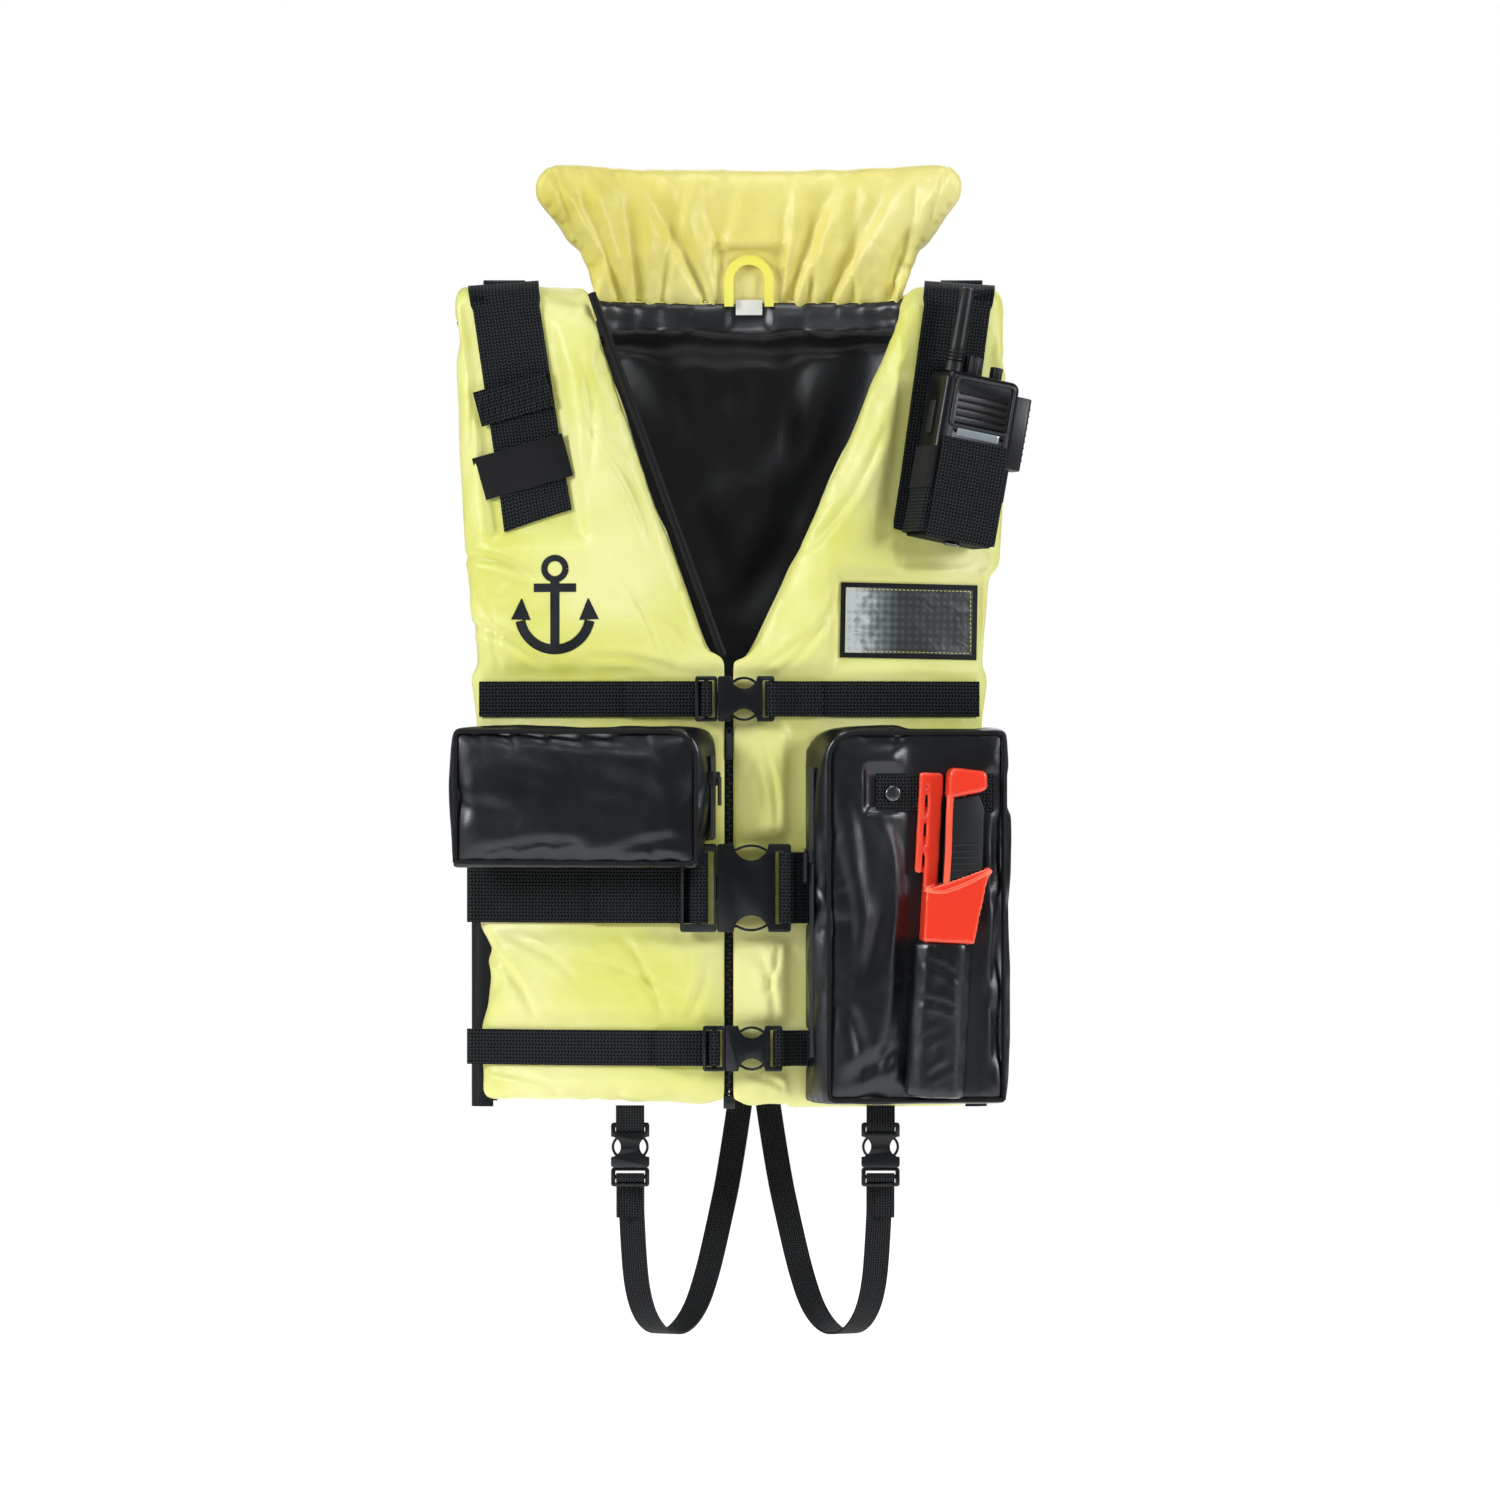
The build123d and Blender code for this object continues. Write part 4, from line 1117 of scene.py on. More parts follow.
LINING_FOLDS = (
    Crease(-96, -40, -30, -170, 16.0, 3.0), Crease(-60, -34, -20, -110, 12.0, 2.0),
    Crease(-10, -40, -34, -180, 15.0, 2.4), Crease(40, -36, -2, -160, 14.0, 2.6),
    Crease(92, -44, 30, -190, 16.0, 3.0), Crease(-84, -120, -20, -240, 15.0, 2.6),
    Crease(60, -130, -14, -260, 14.0, 2.8), Crease(10, -60, 26, -200, 12.0, 1.8),
)


@dataclass
class Body:
    """The three foam panels and the black side panels."""

    covers: dict[str, Object] = field(default_factory=dict)

    def build(self) -> None:
        """Makes the panels."""
        table = (
            ("right_front", RIGHT_CREASES, True, False), ("left_front", LEFT_CREASES, True, False),
            ("back", BACK_CREASES, False, True),
        )
        for name, creases, front, lining in table:
            panel = Panel(
                f"{name}_shell", f"{name}_foam", f"{name}_cover", f"{name}_lining", creases,
                front=front, replaces_lining=lining, voxel=0.005 if front else 0.0055,
            )
            self.covers[name] = panel.build()
        self.sides()

    def sides(self) -> None:
        """Makes the black cloth that joins front and back under the arms."""
        reach, low, high = 0.046, -0.606, -0.376
        parts = []
        for side in (-1, 1):
            x, middle = TORSO.x + side * 0.1826, (low + high) / 2
            turn = ((0.015, -0.004), (0.006, -0.003), (0.001, 0.0), (0.0, 0.005))  # in and forward of the side
            front = [(x - side * inward, TORSO.y - reach + back, middle) for inward, back in turn]
            path = front + [(a, 2 * TORSO.y - b, c) for a, b, c in reversed(front)]
            panel = strip("side", path, (0, 0, 1), high - low, 0.0012, 0.003, 60)
            points = points_of(panel)
            fade = np.clip(1 - np.abs((points[:, 1] - TORSO.y) / reach), 0, 1)
            points[:, 0] += side * 0.0007 * fade * fractal(points, (1, 0.02, 0.05), 5.0 + side)
            move_points(panel, points)
            parts.append(panel)
        dress(joined("side_panel_cloth", parts), "vest", "black_fabric", Finish.SIDE, "side_panels", angle=70)


@dataclass
class Collar:
    """The stand-up collar, gathered where it is sewn to the neck."""

    base_z: float = -0.027
    top_z: float = 0.070
    tuck: float = 0.0085
    folds: tuple[tuple[float, float, float, float], ...] = (
        # where on the base it starts, where it points at the top, width, depth, in mm
        (-94, -136, 6.0, 4.0), (-76, -100, 8.0, 4.4), (-58, -50, 6.0, 2.6), (-36, -78, 8.0, 5.0), (-22, -6, 6.0, 3.0),
        (-8, -38, 5.0, 2.6), (14, 30, 6.0, 3.2), (28, 72, 8.0, 5.0), (44, 36, 6.0, 2.8), (62, 98, 8.0, 4.6),
        (80, 72, 5.5, 2.6), (96, 134, 6.0, 4.0),
    )

    def build(self) -> None:
        """Makes the collar and its seams."""
        piece = remeshed(copy_of("collar_foam", "collar_shell"), 0.004, 4)
        rest = points_of(piece) + normals_of(piece) * 0.0022
        foot = np.clip(1 - (rest[:, 2] - self.base_z) / 0.018, 0, 1)
        rest[:, 2] -= self.tuck * foot  # the foot goes down behind the neck's edge
        move_points(piece, rest)
        puff(piece, 3.0)
        move = points_of(piece) - rest
        height = np.clip((rest[:, 2] - self.base_z) / (self.top_z - self.base_z), 0, 1)
        cap = 0.0055 * np.clip(height * 3.2, 0.04, 1)
        cap = np.where((np.abs(rest[:, 0]) < 0.024) & (rest[:, 2] < 0.008) & (rest[:, 1] < 0.012), 0.0002, cap)
        move_points(piece, rest + limited(move, cap))
        apply_modifier(piece, "SUBSURF", levels=1, render_levels=1)
        self.gather(piece)
        dress(piece, "", "hi_vis_fabric", Finish.COLLAR, "collar_cover", "collar_foam", angle=80)
        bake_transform(piece)

    def gather(self, piece: Object) -> None:
        """Draws folds that fan up from the gathered base, on both faces."""
        points, normals = points_of(piece), normals_of(piece)
        x, y, z = points.T / MM
        base, top = self.base_z / MM, self.top_z / MM
        t = np.clip((z - base) / (top - base), 0, 1)
        lift = np.zeros(len(points))
        for foot, head, wide, deep in self.folds:
            line = foot + (head - foot) * t + 5 * np.sin(2.6 * t + foot)
            spread = wide * (0.45 + 0.9 * t)
            fade = np.clip(1.15 - t, 0, 1) ** 0.8 * np.clip((1 - t) / 0.16, 0, 1)
            lift -= 1.25 * deep * fade * np.exp(-(((x - line) / spread) ** 2))
            lift += 0.5 * deep * fade * np.exp(-(((x - line - 1.7 * spread) / spread) ** 2))
        pucker = np.sin(x / 2.6 + 2.5 * np.sin(x / 13.0)) * np.exp(-((t / 0.16) ** 2))
        lift += 1.0 * pucker * np.clip(np.abs(normals[:, 1]) * 1.6 - 0.4, 0, 1) * np.clip(t / 0.08, 0, 1)
        lift += 1.3 * fractal(points, (0.030, 0.05, 0.045), 4.0) * np.clip((1 - t) / 0.12, 0.15, 1)
        lift += 0.4 * fractal(points, (0.010, 0.02, 0.016), 14.0)
        for seam in (-1, 1):
            place = seam * (113 + 30 * t)
            lift -= 1.6 * np.exp(-(((x - place) / 1.8) ** 2)) * np.clip((1 - t) / 0.1, 0, 1)
        loop = (np.abs(x) < 23) & (z < 8) & (y < 14)
        lift = np.where(loop, np.minimum(lift, 0) * 0.4, lift)
        move_points(piece, points + normals * (lift * MM)[:, None])


@dataclass
class NeckTrim:
    """The hanging loop and the care label inside the neck."""

    crown: tuple[float, float, float] = (0.0, 0.0, -0.0145)
    middle_radius: float = 0.0145
    leg_z: float = -0.0335

    def build(self) -> None:
        """Makes the loop as folded tape, and the label."""
        arch = [(-self.middle_radius, 0, self.leg_z), (-self.middle_radius, 0, -0.024)]
        for turn in np.linspace(math.pi, 0, 24):
            arch.append((self.middle_radius * math.cos(turn), 0, self.crown[2] + self.middle_radius * math.sin(turn)))
        arch += [(self.middle_radius, 0, -0.024), (self.middle_radius, 0, self.leg_z)]
        path = np.array(arch)
        across = np.cross(units(np.gradient(path, axis=0)), (0, 1, 0))
        loop = strip("hanging_loop_tape", path, across, 0.0066, 0.0011, 0.0015, 4)
        dress(loop, "vest", "yellow_webbing", Finish.TAPE_YELLOW, "hang_loop", angle=60)
        low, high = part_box("care_label")
        middle_y, z = (low.y + high.y) / 2, (low.z + high.z) / 2
        path = [(x, middle_y + 0.0002 * math.sin(x * 500), z) for x in np.linspace(low.x, high.x, 16)]
        label = strip("care_label_cloth", path, (0, 0, 1), high.z - low.z, 0.0005, 0.001, 8)
        dress(label, "vest", "label", Finish.LABEL, "care_label", angle=60)


# --- fastenings ----------------------------------------------------------------------------


@dataclass(frozen=True)
class Place:
    """A local frame: X across, Y up and Z out of the vest, in millimetres."""

    origin: tuple[float, float, float]
    yaw: float = 0.0
    lean: float = 0.0

    def axes(self) -> tuple[np.ndarray, np.ndarray, np.ndarray]:
        """Returns the three directions."""
        yaw, lean = math.radians(self.yaw), math.radians(self.lean)
        flat = np.array((math.cos(yaw), math.sin(yaw), 0.0))
        across = flat * math.cos(lean) - np.array((0.0, 0.0, 1.0)) * math.sin(lean)
        out = np.array((math.sin(yaw), -math.cos(yaw), 0.0))
        return across, np.cross(out, across), out

    def at(self, x: float, y: float, z: float) -> np.ndarray:
        """Turns local millimetres to metres in the row frame."""
        across, up, out = self.axes()
        return np.array(self.origin) * MM + (across * x + up * y + out * z) * MM

    def path(self, points: Sequence[tuple[float, float, float]]) -> np.ndarray:
        """Turns several local points."""
        return np.array([self.at(*p) for p in points])


THREAD_WIDE = 0.0007
THREAD_THICK = 0.0006
STITCH_SHARE = 0.72  # of the pitch, with the rest a gap where the thread goes down


def thread(name: str, rows: Sequence[Sequence[Sequence[float]]], finish: Finish, pitch: float = 0.0036) -> Object:
    """Sews rows of stitches, each a small flattened capsule that is copied along its row.

    Args:
        name: The piece's name.
        rows: Each row's points, on the cloth.
        finish: The thread's finish.
        pitch: Distance from stitch to stitch.

    Returns:
        One piece with every stitch.
    """
    pattern = primitive("uv_sphere", segments=6, ring_count=4, radius=0.5, location=(0, 0, 0))
    shape = points_of(pattern) * np.array((THREAD_WIDE, THREAD_THICK, pitch * STITCH_SHARE))
    made = []
    for row in rows:
        line = resampled(row, pitch)
        for a, b in zip(line[:-1], line[1:]):
            turn = (Vector(b - a)).to_track_quat("Z", "Y").to_matrix()
            stitch = linked("stitch", pattern.data.copy())
            move_points(stitch, shape @ np.array(turn).T + (a + b) / 2)
            made.append(stitch)
    bpy.data.objects.remove(pattern)
    piece = joined(name, made)
    piece.data.materials.append(finish.get())
    return piece


@dataclass(frozen=True)
class BeltBuckle:
    """Sizes of a side-release buckle, in millimetres along the belt from its mouth."""

    socket: float
    plug: float
    thick: float
    bar: float = 2.4
    lift: float = 2.8

    def plug_turn(self) -> list[tuple[float, float]]:
        """Webbing under the plug, up its inner slot, over the middle bar and down the outer slot."""
        slot = (self.plug - 3 * self.bar) / 2
        outer = -self.plug + self.bar + slot / 2
        middle, inner = outer + (slot + self.bar) / 2, outer + slot + self.bar
        high = self.lift + self.thick - 0.9
        half = self.bar / 2 + 0.7
        return [
            (-self.plug - 6, 1.3), (inner - 1.6, 1.5), (inner, 3.2), (inner - 0.3, high - 2.0),
            (middle + half, high + 0.6), (middle, high + 1.2), (middle - half, high + 0.6), (outer + 0.3, high - 2.0),
            (outer, 4.4), (outer - 1.8, 3.15), (-self.plug - 4, 3.1),
        ]

    def socket_turn(self) -> list[tuple[float, float]]:
        """Webbing under the socket, up its slot and over its end bar."""
        slot, end = 0.85 * self.socket, self.socket
        high = self.lift + self.thick
        return [
            (end + 6, 3.1), (end + 2.6, 4.6), (end + 1.7, high - 2.5), (end + 0.2, high + 0.7),
            (0.955 * end, high + 1.2), (slot + 1.2, high + 0.5), (slot + 0.1, high - 2.5), (slot, 3.2),
            (slot + 1.8, 1.5), (end + 6, 1.3),
        ]


SMALL = BeltBuckle(40.0, 16.0, 9.0)
WIDE = BeltBuckle(52.0, 26.0, 11.0)


@dataclass(frozen=True)
class Belt:
    """One belt across the front."""

    name: str
    z: float
    width: float
    mouth: float
    buckle: BeltBuckle
    tail: float
    return_end: float
    round_back: bool = True
    side_y: float = -0.0646
    start: float = -0.191
    stop: float = 0.163

    def near(self, turn: Sequence[tuple[float, float]]) -> list[tuple[float, float, float]]:
        """Places a buckle's webbing turn on the vest."""
        front = TORSO.y - TORSO.half_depth
        return [(self.mouth + dx * MM, front - lift * MM, self.z) for dx, lift in turn]

    def right_run(self) -> Object:
        """Webbing from the side to the plug, with its loose tail lying on it."""
        turn = self.near(self.buckle.plug_turn())
        stop = turn[0][0] - 0.004
        if self.round_back:
            way = [p for p in TORSO.girth_path(stop, self.z, 0.0013, -1) if p[1] < self.side_y][::-1]
        else:
            way = TORSO.chest_path(self.start, stop, self.z, 0.0013)
        tail = TORSO.chest_path(turn[-1][0] - 0.004, self.tail, self.z, 0.0031)
        tail[-1] = (tail[-1][0], tail[-1][1] - 0.0006, tail[-1][2])
        return strip(f"{self.name}_belt_webbing", way + turn + tail, (0, 0, 1), self.width, 0.0016, 0.0022, 8)

    def left_run(self) -> Object:
        """Webbing from the socket to the side, and round the back for the lower belts."""
        turn = self.near(self.buckle.socket_turn())
        tail = TORSO.chest_path(self.return_end, turn[0][0] + 0.004, self.z, 0.0031)
        first = turn[-1][0] + 0.004
        if self.round_back:
            way = TORSO.girth_path(first, self.z, 0.0013, 1)
            way += [p for p in TORSO.girth_path(TORSO.x, self.z, 0.0013, -1) if p[1] > self.side_y][::-1]
        else:
            way = TORSO.chest_path(first, self.stop, self.z, 0.0013)
        return strip(f"{self.name}_left", tail + turn + way, (0, 0, 1), self.width, 0.0016, 0.0026, 8)

    def seams(self) -> list[list[tuple[float, float, float]]]:
        """Rows of stitches that hold the webbing."""
        half = self.width / 2 - 0.003
        rows = []
        for x in (self.return_end - 0.004, self.return_end - 0.018):
            rows.append([(x, TORSO.chest(x, 0.0042), self.z - half), (x, TORSO.chest(x, 0.0042), self.z + half)])
        for x in ((self.start + 0.008, self.start + 0.014) if not self.round_back else ()):
            rows.append([(x, TORSO.chest(x, 0.0024), self.z - half), (x, TORSO.chest(x, 0.0024), self.z + half)])
        return rows


@dataclass
class Belts:
    """The three belts, their buckles and their stitches."""

    belts: tuple[Belt, ...] = (
        Belt("chest", -0.317, 0.025, -0.022, SMALL, -0.087, 0.052, round_back=False),
        Belt("waist", -0.450, 0.050, -0.0225, WIDE, -0.112, 0.062),
        Belt("hem", -0.563, 0.025, -0.0165, SMALL, -0.066, 0.060),
    )

    def build(self) -> None:
        """Makes every belt."""
        lefts, seams = [], []
        for belt in self.belts:
            run = belt.right_run()
            dress(run, "", "webbing", Finish.BELT, f"{belt.name}_belt_right", angle=60)
            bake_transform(run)
            lefts.append(belt.left_run())
            seams += belt.seams()
            eased_copy(f"{belt.name}_plug", f"{belt.name}_plug", "black_plastic", Finish.ACETAL, 0.8)
            eased_copy(f"{belt.name}_latch_arms", f"{belt.name}_plug", "black_plastic", Finish.ACETAL, 0.5)
        dress(joined("left_belt_webbing", lefts), "vest", "webbing", Finish.BELT, "belts_left", angle=60)
        dress(thread("belt_stitches", seams, Finish.THREAD), "vest", "webbing", Finish.THREAD)
        eased_copy("belt_sockets", "vest", "black_plastic", Finish.ACETAL, 1.1)
        self.crotch()

    def crotch(self) -> None:
        """Dresses the crotch buckles and threads their short tabs."""
        eased_copy("crotch_sockets", "vest", "black_plastic", Finish.ACETAL, 0.9)
        turns = []
        for side, x in (("right", -0.084), ("left", 0.093)):
            for part, ease in (("plug", 0.6), ("latch_arms", 0.4)):
                eased_copy(f"{side}_crotch_{part}", f"{side}_crotch_plug", "black_plastic", Finish.ACETAL, ease)
            path = [(x, y * MM, z * MM) for y, z in (
                (-116.7, -604), (-116.7, -612), (-115.2, -617.2), (-109.5, -620.6), (-108, -622.4), (-112, -622.9),
                (-117.2, -621.4), (-118.9, -617.6), (-118.7, -612), (-118.6, -604.5),
            )]
            turns.append(strip("tab", path, (1, 0, 0), 0.020, 0.0012, 0.0014, 4))
            loop = [(x, y * MM, z * MM) for y, z in (
                (-102.2, -664), (-102.6, -658), (-105.5, -654.3), (-110.5, -652.6), (-116.4, -653.6), (-117.2, -655.4),
                (-116.4, -657.2), (-110.5, -658.6), (-104.6, -660.4), (-103.9, -668), (-103.9, -684),
            )]
            fold = strip(f"{side}_crotch_fold", loop, (1, 0, 0), 0.0198, 0.0012, 0.0014, 4)
            dress(fold, f"{side}_crotch_plug", "webbing", Finish.STRAP, angle=60)
        dress(joined("crotch_tab_webbing", turns), "vest", "webbing", Finish.STRAP, "crotch_tabs", angle=60)


@dataclass
class FrontZip:
    """Moulded zip down the front."""

    x: float = TORSO.x
    y: float = -0.125
    low: float = -0.597
    top: float = -0.327
    pitch: float = 0.003
    tooth: tuple[float, float, float] = (0.0029, 0.0024, 0.0017)
    aside: float = 0.0007  # each tooth's middle from the middle of the zip

    def build(self) -> None:
        """Makes the tapes and the teeth, and dresses the slider, the puller and the box."""
        tapes = []
        for side in (-1, 1):
            path = [(self.x + side * 0.0026, self.y, z) for z in np.linspace(self.low, self.top, 90)]
            tapes.append(strip("tape", path, (1, 0, 0), 0.0046, 0.0008, 0.004, 3))
        dress(joined("front_zip_tapes", tapes), "vest", "webbing", Finish.BINDING, angle=60)
        tooth = primitive("cube", size=1, location=(0, 0, 0))
        move_points(tooth, points_of(tooth) * np.array(self.tooth))
        apply_modifier(tooth, "BEVEL", width=0.0004, segments=2)
        shape = points_of(tooth)
        teeth = []
        for n in range(int((self.top - self.low) / self.pitch)):
            copied = linked("tooth", tooth.data.copy())
            side = 1 if n % 2 else -1
            place = np.array((self.x + side * self.aside, self.y, self.low + (n + 0.5) * self.pitch))
            move_points(copied, shape + place)
            teeth.append(copied)
        bpy.data.objects.remove(tooth)
        dress(joined("front_zip_teeth", teeth), "vest", "zip_metal", Finish.ZIP, "front_zip")
        eased_copy("front_zip_box", "vest", "zip_metal", Finish.ZIP, 0.5)
        eased_copy("front_zip_slider", "zip_slider", "zip_metal", Finish.ZIP, 0.4)
        eased_copy("front_zip_puller", "zip_puller", "zip_metal", Finish.ZIP, 0.35)


# --- pockets and knife ---------------------------------------------------------------------


@dataclass
class Pocket:
    """A bellows pocket in coated cloth, with a piped front edge."""

    side: str
    corner: tuple[float, float]
    turn: int
    front_y: float
    depth: float
    creases: tuple[Crease, ...]
    outline: tuple[tuple[float, float], ...]
    slope: float = 9.5
    rise: float = 0.0048
    radius: float = 22.0
    soft: float = 0.75  # how strongly its creases show
    tunnel: tuple[float, float] = (-9999.0, 0.0)  # top and depth of the room for a buckle behind it

    def front(self, x: np.ndarray | float) -> np.ndarray | float:
        """Y of the pocket's front face at an X, in millimetres."""
        return self.front_y + np.abs(x - self.corner[0]) * math.tan(math.radians(self.slope))

    def shape(self) -> Object:
        """Swells and creases a copy of the bag."""
        piece = remeshed(copy_of(f"{self.side}_pocket_bag", f"{self.side}_pocket_cloth"), 0.004, 4)
        rest = points_of(piece)
        normals = normals_of(piece)
        x, y, z = rest.T / MM
        # the bag's upper corner is cut round, wider towards its base
        widen = 20 * np.clip((y - self.front_y) / self.depth, 0, 1)
        centre_x, centre_z = self.corner[0] - self.turn * self.radius, self.corner[1] - self.radius
        dx, dz = (x - centre_x) * self.turn, z - centre_z
        reach = np.hypot(dx, dz)
        limit = self.radius + widen
        over = (dx > 0) & (dz > 0) & (reach > limit)
        scale = np.where(over, limit / np.maximum(reach, 1e-6), 1)
        rest = np.stack([centre_x + dx * self.turn * scale, y, centre_z + dz * scale], axis=1) * MM
        move_points(piece, rest)
        puff(piece, 2.5, 16)
        move = points_of(piece) - rest
        ahead = np.clip((-104 - y) / 26, 0, 1)
        cap = self.rise * ahead * np.clip((TORSO.face_offset(rest) / MM - 3) / 12, 0, 1)
        hidden = self.hidden(rest, normals)
        cap = cap * self.held(rest, np.ones(len(rest))) * ~hidden + 1e-5
        rest[:, 1] -= 0.0012 * (normals[:, 1] > 0.3) * (y < -137)
        move_points(piece, rest + limited(move, cap))
        apply_modifier(piece, "SUBSURF", levels=1, render_levels=1)
        points, normals = points_of(piece), normals_of(piece)
        x, y, z = points.T / MM
        lift = np.zeros(len(points))
        for crease in self.creases:
            lift += self.soft * crease.lift(x, z)
        lift += 1.2 * fractal(points, (0.060, 0.06, 0.09), 6.0) + 0.12 * fractal(points, (0.014, 0.014, 0.02), 2.0)
        free = np.clip((TORSO.face_offset(points) / MM - 2.5) / 9, 0, 1) * ~self.hidden(points, normals)
        moved = points + normals * (self.held(points, lift) * free * MM)[:, None]
        top, depth = self.tunnel
        up, out = top - moved[:, 2] / MM, depth - TORSO.face_offset(moved) / MM
        inside = (up > 0) & (out > 0)
        moved[:, 2] += np.where(inside & (up <= out), up, 0) * MM
        moved[:, 1] -= np.where(inside & (up > out), out, 0) * MM
        move_points(piece, moved)
        return piece

    def hidden(self, points: np.ndarray, normals: np.ndarray) -> np.ndarray:
        """Marks the walls that face the vest or the buckle under the bag, which stay where they are."""
        below = (normals[:, 2] < -0.3) & (points[:, 1] / MM > self.front_y + 8)
        return (normals[:, 1] > 0.3) | below

    def held(self, points: np.ndarray, lift: np.ndarray) -> np.ndarray:
        """Keeps the cloth down where something is sewn on it; nothing is sewn on a plain pocket, so the lift comes back
        as it is.
        """
        return lift

    def build(self) -> None:
        """Makes the bag and its piping."""
        piece = self.shape()
        dress(piece, "vest", "black_fabric", Finish.PACK, f"{self.side}_pocket_bag", angle=80)
        path = [(x * MM, (self.front(x) - 0.6) * MM, z * MM) for x, z in self.outline]
        line = resampled(path, 0.004)
        wave = np.zeros((len(line), 3))
        wave[:, 1] = -0.0006 * np.abs(fractal(line, (0.02, 0.02, 0.02), 1.0))
        piping = cord_mesh(f"{self.side}_pocket_piping", line + wave, 0.0017, 12)
        dress(piping, "vest", "black_fabric", Finish.BINDING, angle=80)


@dataclass
class KnifePocket(Pocket):
    """The left pocket, which the knife's strap and sleeve are sewn to."""

    def held(self, points: np.ndarray, lift: np.ndarray) -> np.ndarray:
        """Keeps the cloth down under the knife."""
        x, _, z = points.T / MM
        held = np.clip((np.abs(x - 137) - 26) / 10, 0, 1)
        strap = np.clip((np.abs(z + 384) - 15) / 8, 0, 1)
        strap = np.where(x > 80, strap, 1)
        free = np.where(z < -395, held, np.minimum(held, strap))
        return np.where(lift > 0, lift * free, lift * (0.3 + 0.7 * free))


def rounded(corners: Sequence[tuple[float, float, float]]) -> tuple[tuple[float, float], ...]:
    """An outline whose corners (x, z, radius) turn in arcs, for axis-aligned corners."""
    out: list[tuple[float, float]] = []
    for i, (x, z, r) in enumerate(corners):
        if not 0 < i < len(corners) - 1 or r == 0:
            out.append((x, z))
            continue
        before, after = corners[i - 1], corners[i + 1]
        a = np.array((before[0] - x, before[1] - z), float)
        b = np.array((after[0] - x, after[1] - z), float)
        a, b = a / np.hypot(*a) * r, b / np.hypot(*b) * r
        for t in np.linspace(0, math.pi / 2, 9):
            point = np.array((x, z)) + a * (1 - math.sin(t)) + b * (1 - math.cos(t))
            out.append((float(point[0]), float(point[1])))
    return tuple(out)


@dataclass
class Pockets:
    """Both pockets and their zips."""

    def build(self) -> None:
        """Makes the pockets and dresses their zips."""
        Pocket(
            "right", (-35.0, -337.0), 1, -166.0, 46.0,
            (
                Crease(-196, -352, -120, -366, 8.0, 2.2), Crease(-150, -345, -60, -354, 6.0, 1.6),
                Crease(-206, -392, -160, -404, 8.0, 2.0), Crease(-130, -372, -50, -396, 11.0, 2.6),
                Crease(-190, -428, -110, -420, 5.0, 1.8), Crease(-95, -426, -45, -416, 5.0, 2.0),
                Crease(-62, -352, -48, -410, 5.0, 1.6),
            ),
            rounded(((-207, -432, 0), (-207, -340, 3), (-37, -340, 20), (-37, -433, 4), (-207, -432, 0))),
            soft=0.5, tunnel=(-416.8, 20.2),
        ).build()
        KnifePocket(
            "left", (54.0, -338.0), -1, -164.0, 44.0,
            (
                Crease(70, -350, 170, -358, 6.0, 2.0), Crease(70, -372, 84, -470, 7.0, 3.0),
                Crease(96, -410, 78, -520, 7.0, 3.2), Crease(62, -420, 66, -540, 5.0, 2.4),
                Crease(106, -470, 92, -590, 6.0, 3.0), Crease(70, -530, 80, -596, 5.0, 2.4),
                Crease(172, -392, 166, -470, 6.0, 3.0), Crease(178, -450, 162, -540, 5.0, 2.8),
                Crease(170, -520, 166, -596, 5.0, 2.8), Crease(64, -590, 116, -560, 6.0, 2.0),
                Crease(100, -400, 112, -450, 5.0, 2.2), Crease(44, -380, 40, -560, 4.0, 1.2),
            ),
            rounded(((179, -599, 0), (179, -341, 4), (56, -341, 20), (56, -599, 4), (179, -599, 0))),
        ).build()
        eased_copy("pocket_zips", "vest", "zip_metal", Finish.ZIP, 0.4)
        for side in ("right", "left"):
            eased_copy(f"{side}_pocket_slider", f"{side}_pocket_slider", "zip_metal", Finish.ZIP, 0.4)


KNIFE = Place((138.5, -164.0 + (138.5 - 54.0) * math.tan(math.radians(9.5)) - 0.3, -444.0), 9.5, 3.1)


